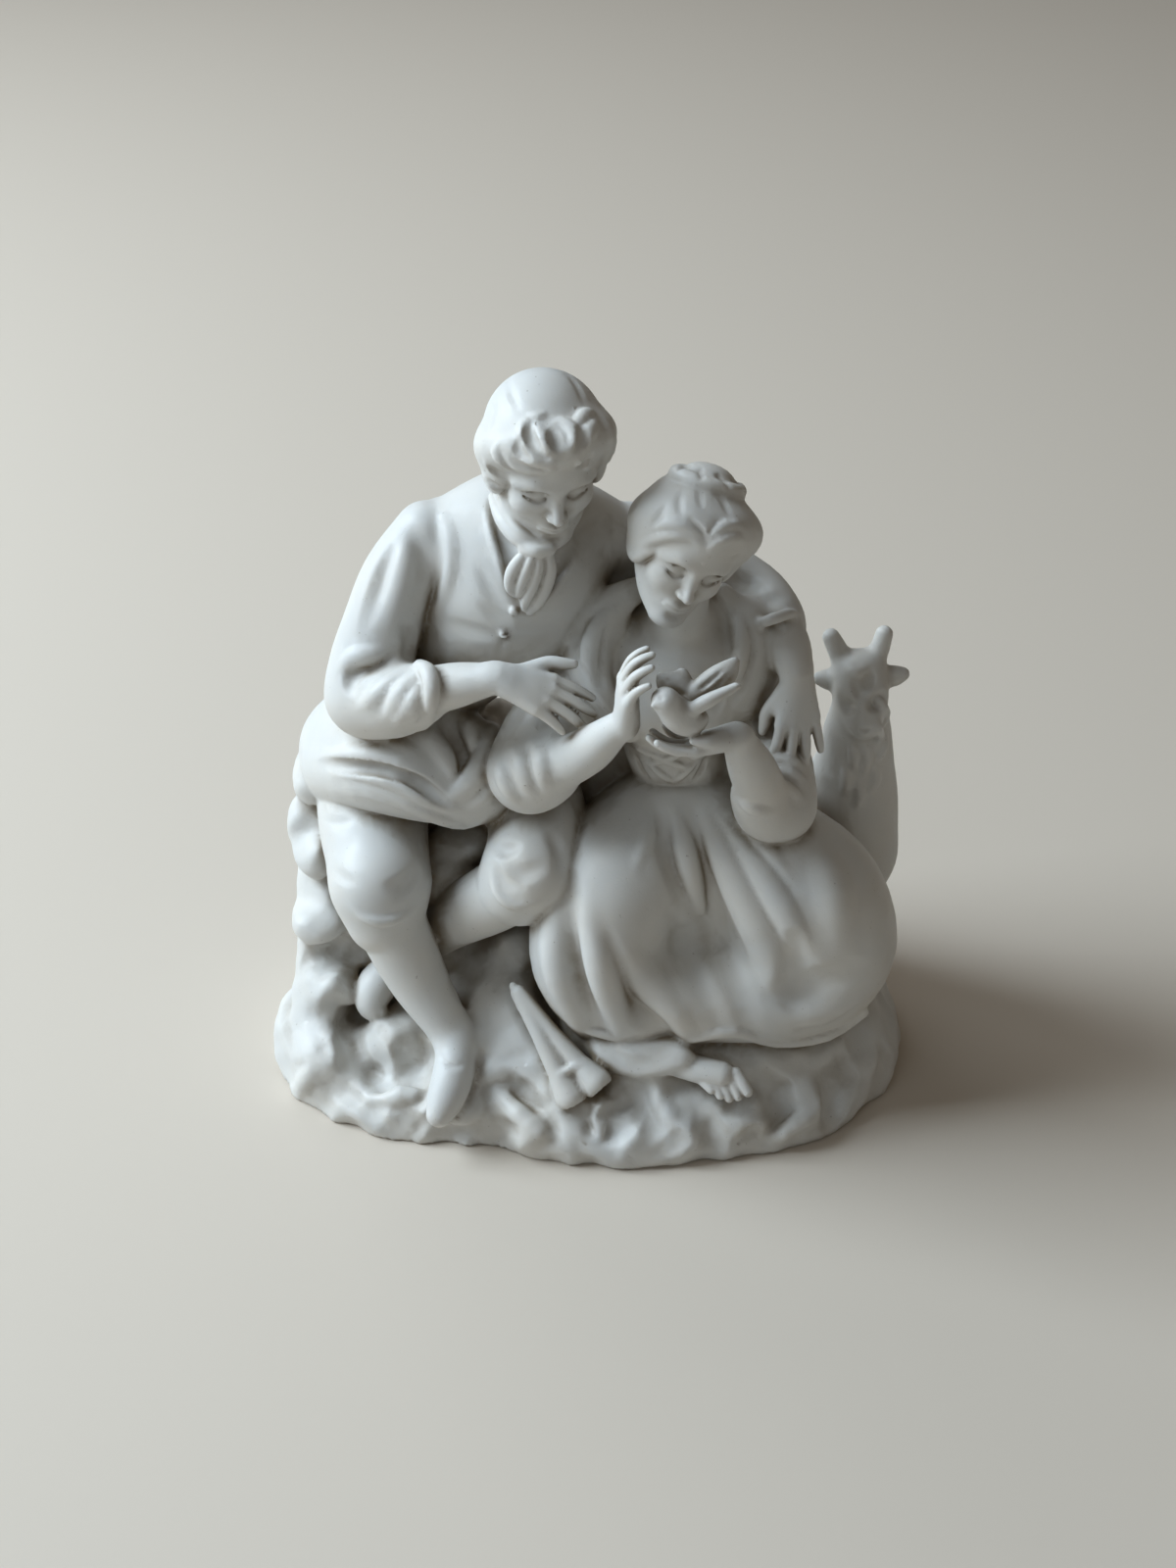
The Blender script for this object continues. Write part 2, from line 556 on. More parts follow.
form(worked([
    chain([[-36.2, -12, 40.3, 6.2], [-34.3, -13, 34.4, 6.2], [-30.9, -15, 26.9, 5.4],
        [-26.6, -18, 20.2, 4.2], [-24.3, -20, 16.7, 3.7]], soft=3),
    chain([[-24.2, -18, 16.9, 3.6], [-22.8, -19, 14, 3.8], [-23.1, -22, 11.4, 3.4]], soft=2.5),
    chain([[-24.1, -21.4, 16, 3.6], [-24.5, -25, 13.5, 3.8], [-25.7, -28.4, 10.8, 3.5],
        [-27, -31.2, 8.8, 2.4]], soft=1.6),
], [
    cut(0.35, [-29.3, -0.8, 0.5], [-28.5, -4.7, 0.5], [-25.4, -6.2, 0.5], [-22.3, -3.2, 0.5]),
]))

# Man's left leg
form(worked([
    chain([[-15.4, 9, 57.4, 10], [-10, 0, 55.7, 9.2], [-9.2, -7, 52.8, 8.8], [-10, -13, 50.5, 8.2]],
        soft=4),
    chain([[-10, -13, 50.5, 8], [-12.3, -12.4, 46.7, 7.6]], soft=3),
], [
    tuck(0.96, [-17.5, 46.7, 1.4], [-15.2, 45.3, 2.2], [-12.3, 46.7, 1.6]),
    tuck(0.8, [-17.6, 42.7, 1.3], [-15.7, 38.2, 2], [-11.3, 36, 1.4]),
    valley(0.9, [-15.2, 43.1, 1.2], [-12.4, 40, 1.8], [-8.3, 41.8, 1.2]),
    valley(0.8, [-7.2, 49.3, 1.2], [-5.1, 45.3, 1.8], [-5.5, 40.5, 1.2]),
    pleat(1, [-18.4, 40.5, 0.9], [-17, 35.8, 1.25], [-13.4, 32.8, 1.25], [-7.7, 34, 0.9]),
    crest(0.6, [-6, 58.7, 2], [-3.6, 52.3, 3], [-3.6, 45.3, 2]),
]))
form([
    chain([[-10.5, -12.6, 48.1, 6.6], [-17.8, -9.5, 41.1, 6.3], [-25, -6, 34.1, 5.4],
        [-31.6, -4, 26.9, 4.2], [-35.8, -4, 21.8, 3.4]], soft=3),
    chain([[-36.6, -4, 21.1, 3.3], [-39.5, -6.5, 19.4, 3.8], [-40.7, -9, 17.1, 3], [-39.7, -10, 15.6, 2.2]],
        soft=2),
])

# Man's tunic
form(worked([
    chain([[-39.1, 8, 62.5, 11], [-38.1, 9, 65.9, 11.2], [-33.8, 10, 71.5, 11], [-28.2, 10, 78.7, 10.5]],
        soft=4),
    chain([[-44.7, 5, 60.1, 7], [-37.6, -2.6, 65, 7.8], [-28.2, -5.6, 63.8, 7], [-19.6, -5.4, 62.2, 6]],
        soft=4),
    chain([[-35, 2, 71.6, 9.6], [-27.9, -1.4, 68.8, 8.8], [-20.1, -3, 66.1, 7.8]], soft=5),
    egg([-45.6, 14, 58.7], [8, 9, 9.6], soft=5),
    egg([-24, 15, 57], [17, 11, 12], soft=7),
], [
    pleat(1.9, [-49.2, 66.1, 1.6], [-44.6, 65.8, 2.6], [-39, 66.1, 2.8], [-34.2, 64.4, 2.8],
        [-29.4, 60.8, 2.5], [-25.6, 57.2, 1.5]),
    pleat(1.6, [-47.7, 61.9, 1.4], [-42, 62.5, 2], [-36.1, 61.2, 2.1], [-30.5, 58.1, 2.1],
        [-25.3, 54.7, 1.8], [-20.7, 53.2, 1.3]),
    pleat(1, [-47.9, 58.5, 1.4], [-39.9, 58.9, 1.9], [-34.5, 57, 1.9], [-29.6, 53.8, 1.9],
        [-24.7, 51.4, 1.7], [-20.1, 51.4, 1.6], [-16.4, 56.4, 1.3]),
    pleat(1.1, [-46.2, 74.1, 1.6], [-41.1, 71.6, 2.4], [-35.7, 68.7, 2.6], [-30.3, 64.2, 2.4],
        [-26.6, 60.4, 1.4]),
    tuck(0.8, [-35.3, 63.1, 1], [-31.8, 61.2, 1.3], [-28.4, 58.5, 1.3], [-25.3, 55.9, 1]),
    tuck(0.8, [-48.9, 64.4, 1], [-44.1, 63.8, 1.4], [-38.1, 63.5, 1.4], [-34.3, 62.1, 1]),
    valley(2.6, [-26.3, 77.3, 1.4], [-23.7, 72, 2.4], [-22.1, 66.3, 2.8], [-23.4, 60.4, 1.8]),
    pleat(0.8, [-30.6, 72.8, 1.4], [-28, 70, 2.2], [-25.5, 65.4, 2], [-24.4, 60.8, 1.2]),
    pleat(1.5, [-16.7, 75.3, 1.4], [-16.9, 70, 2.4], [-19, 63.8, 2.6], [-22.3, 59.1, 2.3],
        [-26, 56.2, 1.4]),
    pleat(1, [-15.1, 67.5, 1.2], [-16.2, 62.1, 2], [-18.8, 57, 2], [-22.5, 53.2, 1.4]),
    pleat(0.7, [-22.2, 75.7, 1.1], [-20.6, 71.6, 1.7], [-20, 67.5, 1.1]),
    bead(0.5, [-48.6, 59.1, 0.8], [-43.7, 57.6, 0.9], [-39.1, 57.2, 0.9], [-32.1, 54.2, 0.9],
        [-28.3, 51.9, 0.9], [-22.6, 50.1, 0.9], [-16.8, 53.6, 0.8]),
    backValley(1.6, [-18, 70, 1.6], [-22, 60, 2.6], [-20, 50, 2]),
    backValley(1.6, [-30, 72, 1.6], [-34, 60, 2.6], [-40, 52, 2]),
    backCrest(1.2, [-24, 70, 1.6], [-28, 60, 2.4], [-30, 50, 2]),
]))

# Man's shirt and waistcoat
form(worked([
    chain([[-22.9, 5, 83.2, 9.5], [-17, 3, 93, 12], [-12.6, 3, 102.5, 12.5]], soft=5,
        squash=[0, 1, -0.3, 0.82]),
    chain([[-25.2, 6, 106.3, 6.4], [-16.8, 7, 108.6, 7.5], [-6.7, 8, 109.9, 7.5], [3.1, 9, 105.7, 6.2]],
        soft=6),
    egg([-9.3, 2, 98.9], [11, 8.5, 12], turn=[0, -30, 0], soft=6),
    chain([[-12, 9, 107, 8.5], [-15, 12, 97, 9.5], [-20, 14, 86, 9.5], [-27, 15, 74, 10],
        [-33, 15, 63, 11]], soft=6),
], [
    backValley(0.9, [-13, 112, 1], [-14, 98, 1.8], [-19, 82, 1.4]),
    backValley(1.2, [-28, 82, 1.2], [-22, 78, 2], [-14, 80, 1.4]),
    backValley(1, [-32, 76, 1.2], [-25, 73, 2], [-16, 74, 1.4]),
    cut(1.1, [-16.3, 118.4, 2], [-15.5, 112, 2.6], [-13.6, 106.3, 3], [-12.2, 100, 1.8],
        [-12.2, 94.6, 0.8]),
    cut(0.9, [-1.3, 111.1, 1.6], [-4.7, 104.7, 2.4], [-8.4, 98.8, 1.8], [-11.7, 94.6, 0.8]),
    bead(0.45, [-17.3, 118.4, 0.7], [-16.8, 111.9, 0.8], [-15.3, 105.2, 0.8], [-13.5, 95.8, 0.6]),
    bead(0.45, [-0.3, 109.7, 0.7], [-3.3, 103, 0.8], [-7.4, 97.3, 0.8], [-11.8, 93.1, 0.6]),
    valley(0.6, [-18.5, 103.9, 1], [-16.8, 99.4, 1.4], [-14.2, 95.8, 1]),
    valley(0.6, [-25, 93.8, 1], [-20.4, 91.7, 1.6], [-15.6, 90.2, 1]),
    valley(0.5, [-18.5, 96.7, 1], [-16, 94.6, 1.4], [-13.5, 93.1, 1]),
    valley(0.5, [-12.2, 92.1, 1], [-9.1, 92.7, 1.4], [-5.4, 94.4, 1]),
    crest(0.8, [-26.2, 116.9, 1.2], [-23.8, 111.1, 1.4], [-23.3, 104.7, 1.4], [-25.2, 97.7, 1.4],
        [-28.1, 93.8, 1.2]),
    bead(1, [-12.8, 95.8, 0.9], [-12.7, 95.5, 0.9], [-12.7, 95.2, 0.9]),
    bead(1, [-14.6, 91.1, 0.9], [-14.5, 90.8, 0.9], [-14.4, 90.6, 0.9]),
    cut(0.35, [-12.8, 94.6, 0.4], [-14.8, 89.4, 0.4], [-16.1, 86.5, 0.4]),
]), 0.3)
form([
    chain([[-12, 2, 106.4, 5], [-9, -1, 116.2, 5]], soft=2),
])
# Cravat: a wrapped band, a knot and two gathered tails
form([
    chain([[-15.5, -2, 117.9, 1.1], [-14.1, -6, 115.9, 1.3], [-11.8, -9, 114.2, 1.3],
        [-9.7, -10, 113.3, 1.2]], soft=0.5),
    chain([[-14.7, -3, 119.1, 0.9], [-13.2, -6.6, 117.3, 1], [-11.1, -9.4, 115.5, 1],
        [-8.8, -10, 114, 0.9]], soft=0.5),
    chain([[-9.7, -10, 113.3, 1.1], [-6.1, -9.6, 113.1, 1.1], [-3.6, -7, 113.9, 1]], soft=0.5),
    chain([[-10.3, -10.4, 112.6, 1.2], [-8.4, -11, 112.7, 1.4], [-6.3, -10.6, 112.9, 1.1]], soft=0.6),
])
form([
    chain([[-8.7, -9.8, 111.4, 1.3], [-9.6, -9.2, 107.8, 1.9], [-10.3, -8.7, 104.2, 1.8],
        [-10, -8.4, 101.8, 1]], soft=0.8),
], 0.3)
form([
    chain([[-10, -10.6, 112.5, 0.7], [-11.4, -11, 110.7, 1.1], [-12.6, -10.8, 108.3, 1.15],
        [-12.8, -10.2, 105.4, 1], [-11.7, -9.8, 103.7, 0.5]], soft=0.25),
    chain([[-8.8, -11.2, 112.6, 0.6], [-9.8, -11.6, 110.1, 1], [-10.8, -11.2, 107.2, 1.05],
        [-11.6, -10.4, 104.4, 0.7]], soft=0.25),
], 0.15)
form([
    chain([[-7.9, -11, 112.5, 0.6], [-8.2, -11.4, 109.7, 1], [-9.2, -11, 106.2, 1.05],
        [-10.3, -10.2, 103.2, 1], [-10.6, -9.6, 101.2, 0.6]], soft=0.25),
    chain([[-6.6, -10.6, 112.5, 0.7], [-6.3, -10.6, 109.2, 1.15], [-7, -10.4, 105.9, 1.2],
        [-8.3, -10, 102.9, 1.1], [-9.8, -9.4, 100.5, 0.7]], soft=0.25),
], 0.15)

# Man's right arm
form(worked([
    chain([[-27.5, 5, 107.7, 5.8], [-32.3, 2, 100.8, 6.6], [-35.5, -1, 92.9, 6.9], [-37.7, -3, 86.2, 7.2],
        [-38.1, -5, 81.9, 7]], soft=3),
    chain([[-38.1, -5, 81.5, 6.9], [-33.7, -9, 83.1, 6.7], [-29.3, -12, 85.7, 5.5],
        [-27.7, -13.4, 86.9, 4.8]], soft=3),
], [
    tuck(1.5, [-33.3, 89.4, 1.1], [-36.2, 86.1, 1.8], [-40.1, 84.1, 1.9], [-41.8, 80.9, 1.8],
        [-40.8, 78.1, 1.1]),
    pleat(1.1, [-30.2, 83.7, 1.1], [-32.6, 80.1, 2], [-34.3, 76.5, 2.1], [-36.4, 72.8, 1.4]),
    pleat(1, [-29.8, 80.5, 1.1], [-31.1, 77.3, 1.8], [-33.2, 74.1, 1.8], [-34.7, 71.8, 1.2]),
    pleat(0.8, [-29.8, 77.3, 1], [-30.9, 74.7, 1.5], [-32.2, 72.4, 1.1]),
    pleat(1, [-31.5, 84.5, 1.1], [-35.1, 81.3, 2], [-38.4, 77.9, 2.1], [-41.3, 75.3, 1.3]),
    pleat(1, [-33.7, 88.4, 1.2], [-37.6, 87, 2.1], [-41.4, 86.1, 2], [-44.3, 83.3, 1.2]),
    valley(1, [-29.4, 110.2, 1.4], [-28.3, 104.8, 2], [-29.9, 98.8, 1.4]),
    valley(0.9, [-32.8, 108.2, 1.2], [-35.1, 101.5, 2], [-38.6, 92.3, 1.6]),
    valley(0.9, [-32.5, 93.1, 1.2], [-30.8, 90, 1.6], [-31.8, 86.8, 1.2]),
    crest(0.7, [-31.2, 107.4, 1.6], [-31.9, 100, 2.4], [-34.2, 92.3, 1.8]),
]))
form([
    chain([[-28.3, -11.8, 91.1, 1.4], [-26.6, -15.4, 92.1, 1.45], [-26, -18, 89.6, 1.45],
        [-27, -16.2, 84.7, 1.4], [-28.7, -12, 80.2, 1.3], [-29.8, -8, 80.9, 1.2], [-29.8, -8, 85.2, 1.2],
        [-28.3, -11.8, 91.1, 1.3]], soft=0.4),
])
form([
    chain([[-29, -12, 86, 4.2], [-22.8, -14, 88.8, 3.9], [-17.7, -15.6, 90.8, 3],
        [-14.7, -16.4, 91.7, 2.6]], soft=1.5),
    *hand(wrist=[-14.6, -16.5, 91.8], fingers=[0.93, -0.16, -0.33], back=[0.25, -0.62, 0.75], size=1.0,
        bends=[22, 26, 30, 34], fan=[3, -1, -6, -13], thumb=[10.6, 7, 0.6]),
])

# Man's left arm, round the girl's shoulders
form(worked([
    chain([[6.8, 10, 104.6, 6.2], [19, 12, 98, 6.4], [28, 10, 93.5, 6.4], [31.9, 5, 91.5, 5.8],
        [32.9, 3, 89.7, 5.2]], soft=3),
    chain([[2.8, 10, 97, 6], [6.9, 11, 94.9, 6.2], [11.8, 12, 92.4, 5]], soft=4),
], [
    valley(1, [23.4, 102.2, 1.2], [27.5, 100.7, 1.8], [31.3, 97.7, 1.2]),
    valley(1, [26.6, 96.5, 1.2], [30, 96.9, 1.8], [33.6, 98.1, 1.2]),
    valley(0.9, [27.7, 94.2, 1], [31.1, 94.6, 1.6], [35.1, 96.1, 1]),
]))
form([
    chain([[28.8, -1.4, 93.5, 0.9], [31.3, -3.4, 95.7, 1], [34.5, -1, 95.4, 1], [36.3, 4, 91.6, 0.9],
        [34.5, 8.4, 88.8, 0.9], [31.1, 5.6, 89.8, 0.9], [28.8, -1.4, 93.5, 0.9]], soft=1),
])
form([
    chain([[32.6, 2, 91.2, 4.6], [34.6, -2, 89.2, 4], [35.9, -6, 86.4, 2.8]], soft=1.5),
    *hand(wrist=[36.1, -6.2, 86.1], fingers=[0.04, -0.3, -0.95], back=[0.25, -0.93, 0.25], size=1.0,
        mirror=True, bends=[46, 34, 26, 22], fan=[9, 2, -6, -16], thumb=[10, 5.4, -3.4], reach=1.16),
])

# Girl's bodice and neck
bodice = [
    chain([[16.5, 0, 58.7, 7.2], [16.2, 0, 64.2, 8], [15.7, 1, 70.8, 9.8], [15.6, 3, 78.7, 9.6]], soft=4,
        squash=[0, 1, 0, 0.85]),
    chain([[1, 2, 84.1, 6], [7.8, 4, 86.2, 6.2], [16.4, 5, 86, 6], [25.1, 4, 83.8, 6], [29.8, 3, 80, 5.8]],
        soft=6),
    chain([[8.2, -1.4, 88.4, 4.6], [15.3, -2.4, 87.4, 5.6], [23.5, -1, 87.4, 4.6]], soft=5),
    chain([[15.3, -2.2, 85, 6], [15.4, -3, 79.9, 6]], soft=5),
    egg([11, -4.6, 78.1], [6, 5, 6], soft=4),
    egg([19.9, -4.6, 77.3], [6, 5, 6], soft=4),
    chain([[15, 8, 92, 7.5], [16.5, 7, 78, 6.8], [17.5, 5, 64, 7.4]], soft=5),
    chain([[-3.6, 12, 70.1, 6], [0.7, 12, 60.8, 8], [2.2, 12, 52.2, 9]], soft=6),
    chain([[4.5, 13, 68.7, 6], [7.3, 13, 58.1, 8], [9.2, 12, 50, 9]], soft=6),
]
form(worked(bodice, [
    bead(0.8, [7, 68.9, 0.7], [10.5, 66.9, 0.8], [15.1, 65, 0.7]),
    bead(0.8, [9.9, 64.2, 0.7], [14.1, 65.4, 0.8], [18.6, 67.3, 0.7]),
    bead(0.8, [9.5, 67.1, 0.7], [14.4, 65, 0.8], [19.4, 62.7, 0.7]),
    bead(0.8, [10.2, 65, 0.7], [13.1, 62.3, 0.8], [15.9, 59.8, 0.7]),
    bead(0.8, [19.7, 65, 0.7], [17.6, 62.7, 0.8], [15.2, 59.8, 0.7]),
    cut(0.6, [8.1, 67.5, 0.5], [9.5, 63.3, 0.6], [12, 59.6, 0.5]),
    cut(0.6, [21.4, 67.1, 0.5], [20.5, 63.3, 0.6], [18.4, 59.6, 0.5]),
    cut(0.7, [10.6, 59.1, 0.6], [16, 55.7, 0.8], [21.6, 58.7, 0.6]),
]))
form([
    chain([[16.7, 2, 84.9, 5.2], [16, -2, 93.4, 4.5], [15.9, -7, 103.7, 4.6]], soft=4),
    chain([[8.2, 4, 90.1, 4.4], [12.2, 2, 92.7, 4.4], [16.4, 1, 93.7, 4.6], [20.7, 2, 93.1, 4.4],
        [25.4, 5, 90.3, 4]], soft=4),
], 2.5)
# Shawl: broad bands over both shoulders that cross at the bodice
form(worked([
    chain([[9.4, 0, 100.3, 2], [3.7, -2, 97.6, 3.3], [0.2, -4.4, 93.6, 3.8], [0, -6, 88, 3.6],
        [2.4, -7.4, 82.1, 3], [6.8, -8, 76.1, 2.2]], soft=1.5, squash=[0.5, 0.8, 0.1, 0.6]),
    chain([[22.9, 1, 98.3, 2], [26.5, 0, 93.8, 2.9], [27.4, -3, 89.7, 3.4], [26.1, -5, 83.9, 3.2],
        [23.1, -7, 78.3, 2.8], [19.2, -7.6, 72.3, 2.2]], soft=1.5, squash=[-0.5, 0.8, 0.1, 0.6]),
    chain([[2.7, 0, 92.3, 5], [1, -1, 86.6, 5.4], [2.7, -2.4, 80.7, 4.6]], soft=3),
    chain([[28, 2, 91.2, 5], [28.7, 0, 86.1, 5.2], [27.1, -2, 80.1, 4.6]], soft=3),
    egg([15, 9, 90], [16, 7, 9], turn=[-12, 0, 0], soft=3),
    chain([[1, 6, 90, 3.4], [8, 14, 86, 3], [16, 17, 80, 2.6], [24, 14, 86, 3], [31, 6, 90, 3.4]], soft=3),
], [
    tuck(1.04, [5.7, 98.8, 1.2], [2.2, 94.6, 1.9], [1.2, 89.2, 2.2], [1.9, 82.5, 2], [4.5, 75.7, 1.4]),
    tuck(0.8, [2.7, 96.9, 1.2], [-1, 92.3, 1.7], [-2, 86.8, 1.7], [-1, 81.7, 1.2]),
    pleat(0.9, [4.4, 96.5, 1], [1.2, 91.9, 1.6], [0, 86.1, 1.7], [1, 79.7, 1.1]),
    tuck(0.8, [25.3, 96.1, 1.2], [27.9, 90.4, 1.7], [27.8, 84.1, 1.9], [25.6, 77.7, 1.7], [22.7, 72, 1.2]),
    pleat(0.8, [24.2, 96.9, 1], [26.5, 91.1, 1.5], [26.4, 84.5, 1.5], [24.5, 78.9, 1]),
    tuck(0.72, [3.4, 79.7, 1], [5.6, 75.3, 1.6], [8, 71.6, 1]),
    tuck(0.72, [23.5, 78.9, 1], [22.2, 74.9, 1.6], [19.9, 70.4, 1]),
]), 1)

# Girl's right arm
form(worked([
    chain([[0.3, 2, 83.7, 5.6], [-4.1, -3, 79.3, 6.4], [-8.5, -8, 74.9, 6.8], [-10, -12, 70.8, 7]], soft=3),
    chain([[-10, -12, 70.4, 6.8], [-6.7, -15, 72.5, 5.6], [-5, -16.6, 75.1, 4.8]], soft=3),
], [
    pleat(0.9, [-16.7, 66.7, 1.1], [-15.9, 62.1, 1.9], [-14.2, 57.9, 1.9], [-11.8, 54.9, 1.1]),
    pleat(1, [-13.8, 69.4, 1.2], [-12.5, 65, 2], [-11.3, 60.4, 2], [-9.6, 56.6, 1.2]),
    pleat(1, [-10.5, 70.4, 1.2], [-9.1, 66.3, 1.9], [-8.3, 61.7, 1.9], [-7.5, 58.3, 1.1]),
    crest(0.7, [-6.9, 80.5, 2], [-9, 74.5, 2.6], [-12.2, 70.8, 2]),
]))
form([
    chain([[-6.1, -14, 76.3, 1.1], [-3.7, -18, 78, 1.2], [-2.8, -20, 76.5, 1.2], [-3.9, -18, 72.5, 1.2],
        [-5.8, -14.6, 69.5, 1.1], [-6.8, -11.6, 70.8, 1.1], [-6.1, -14, 76.3, 1.1]], soft=0.6),
])
form([
    chain([[-6.7, -15, 72.5, 4.5], [0, -20, 79.7, 4], [4.2, -23.6, 85.8, 2.8], [6.1, -25, 88.1, 2.5]],
        soft=1.5),
    *hand(wrist=[6.3, -25, 88.3], fingers=[-0.02, -0.22, 0.97], back=[-1, -0.12, 0], size=0.9,
        bends=[60, 66, 62, 58], fan=[8, 2, -5, -12], thumb=[9, 4, -2.6]),
])

# Girl's left arm, holding the bird
form(worked([
    chain([[28.9, 3, 78.3, 5.6], [31.6, -1, 72, 5.9], [33.5, -7, 67.4, 6.3], [33.4, -11, 63, 6.2]], soft=3),
    chain([[33.5, -11, 62.6, 6], [31, -15, 64.8, 5.6], [29.3, -17.6, 69, 4.8]], soft=3),
], [
    pleat(0.9, [26.9, 59.3, 1], [28.3, 56.4, 1.6], [30.9, 54.2, 1.6], [33.9, 53.6, 1]),
    pleat(0.9, [32.8, 60, 1], [36.2, 59.1, 1.7], [39.5, 56.2, 1.1]),
    pleat(0.9, [32.4, 63.1, 1], [36.4, 62.3, 1.7], [40, 59.8, 1.1]),
    pleat(0.8, [31.9, 66.7, 1], [35.9, 65.4, 1.6], [39.2, 62.9, 1]),
    tuck(0.72, [28.6, 79.3, 1.3], [30.6, 74.1, 2], [31.5, 68.3, 1.4]),
]))
form([
    chain([[25.5, -19, 71.1, 1.1], [27.3, -21, 73.6, 1.2], [30, -20.4, 72.4, 1.2], [31.8, -17, 67.8, 1.1]],
        soft=0.6),
])
form([
    chain([[30.9, -16, 66.7, 4.4], [27.9, -20.5, 76.1, 4.1], [25.4, -24, 83.3, 2.9],
        [24.5, -25, 85.5, 2.6]], soft=1.5),
    *hand(wrist=[24.4, -25.2, 85.6], fingers=[-0.97, -0.2, -0.12], back=[-0.1, -0.3, -0.95], size=0.9,
        mirror=True, bends=[40, 46, 52, 60], fan=[2, -2, -6, -12], thumb=[8.6, 4.4, -2.4]),
])

# Girl's skirt
form(worked([
    egg([19, 4, 38], [28, 19, 20], soft=6),
    chain([[16.7, 0, 57.4, 7.2], [16, -2, 53.2, 10]], soft=6),
    chain([[14.2, -3, 51.3, 11], [7.1, -9, 47.9, 12.4], [2.8, -13.5, 41.4, 12.6], [1.8, -15, 32.5, 12.2],
        [3.9, -15, 26.9, 10]], soft=7),
    chain([[20.5, -2, 50.6, 11], [31.1, -7, 47.6, 13], [38.7, -10, 42.1, 14.5], [42, -10.5, 33.6, 14.5],
        [41.2, -11, 27.2, 12.5]], soft=7),
    chain([[5.4, -15, 25.8, 9.6], [17.8, -19, 26.7, 8.6], [32.2, -17, 26.2, 9.6]], soft=6),
], [
    valley(2, [18.9, 54.4, 1.4], [20.6, 45.8, 2.4], [22.7, 36, 3], [25.6, 24.6, 3.4], [28.6, 12.8, 3.4],
        [31.7, 2.2, 2.4]),
    pleat(2.3, [20.9, 54.9, 1.6], [24.9, 44.5, 3], [29.7, 32.4, 4.2], [34.1, 19.9, 4.6], [37.5, 7.6, 2.8]),
    pleat(1.7, [22.1, 55.7, 1.4], [28.1, 46.2, 2.4], [34.4, 35.6, 3], [39.6, 25.5, 3], [43, 17.6, 1.8]),
    pleat(0.8, [23.5, 55.7, 1.1], [29.1, 50.1, 2], [34.4, 43.6, 2.2], [39.1, 36.5, 1.4]),
    valley(1.6, [39.3, 25.1, 2], [40.5, 15.2, 3.4], [42.7, 2.7, 2.6]),
    valley(1.6, [12.1, 55.3, 1.2], [14.4, 48, 2.2], [16.7, 40, 2.2], [19.5, 31.5, 1.4]),
    pleat(0.9, [15.7, 54.4, 1.2], [17.7, 47.1, 2.2], [19.5, 38.7, 2.2], [21, 30.6, 1.3]),
    pleat(0.6, [11.4, 53.2, 1.1], [10.5, 46.7, 2], [8, 39.6, 1.2]),
    valley(2.6, [-4, 38.2, 1.6], [-2.8, 27.8, 3.2], [-0.9, 17.1, 4], [1.3, 6.1, 3.6], [3.1, -2.7, 2.4]),
    crest(1.6, [-7, 33.3, 2], [-7.4, 22.7, 2.8], [-5.5, 12.4, 2.8], [-1.5, 1.2, 2]),
    valley(2.6, [0.4, 27.8, 1.6], [3.7, 19.5, 3.2], [8.3, 11.9, 4], [13.7, 4.6, 3.4], [18, -2.2, 2.2]),
    crest(1.7, [-0.7, 32.4, 2], [1.7, 20.9, 2.8], [4.1, 11.4, 2.8], [7.3, 0.2, 2]),
    crest(1.6, [6.7, 23.2, 2.4], [11.4, 15.2, 3.2], [16.7, 7.1, 2.6], [20.3, -0.8, 2]),
    valley(1.3, [16.5, 32.4, 2.4], [19.3, 22.3, 3.6], [22.8, 12.4, 3.6], [26.3, 2.2, 2.4]),
    crest(1.6, [42.5, 46.7, 3], [45.9, 36, 4], [48.7, 23.2, 3]),
    valley(1.9, [35.8, 11.4, 2.4], [43.3, 13.3, 3.8], [52.4, 18.1, 2.4]),
    crest(1.3, [38.8, 5.6, 2], [45.5, 6.6, 3], [52.5, 10.9, 2]),
    bead(0.8, [-8.7, 12.4, 1.2], [-1.9, 3.2, 1.3], [5.7, 0.5, 1.3], [12.3, -1.7, 1.3], [20.1, 0.7, 1.3],
        [28.4, 2.2, 1.3], [37, -1, 1.3], [47, 0.2, 1.3], [54.3, 6.1, 1.2]),
    backValley(2.2, [8, 58, 2], [4, 44, 3.4], [0, 30, 2.6]),
    backValley(2.2, [18, 58, 2], [18, 44, 3.4], [16, 32, 2.6]),
    backValley(2.2, [28, 56, 2], [33, 44, 3.4], [34, 34, 2.6]),
]))
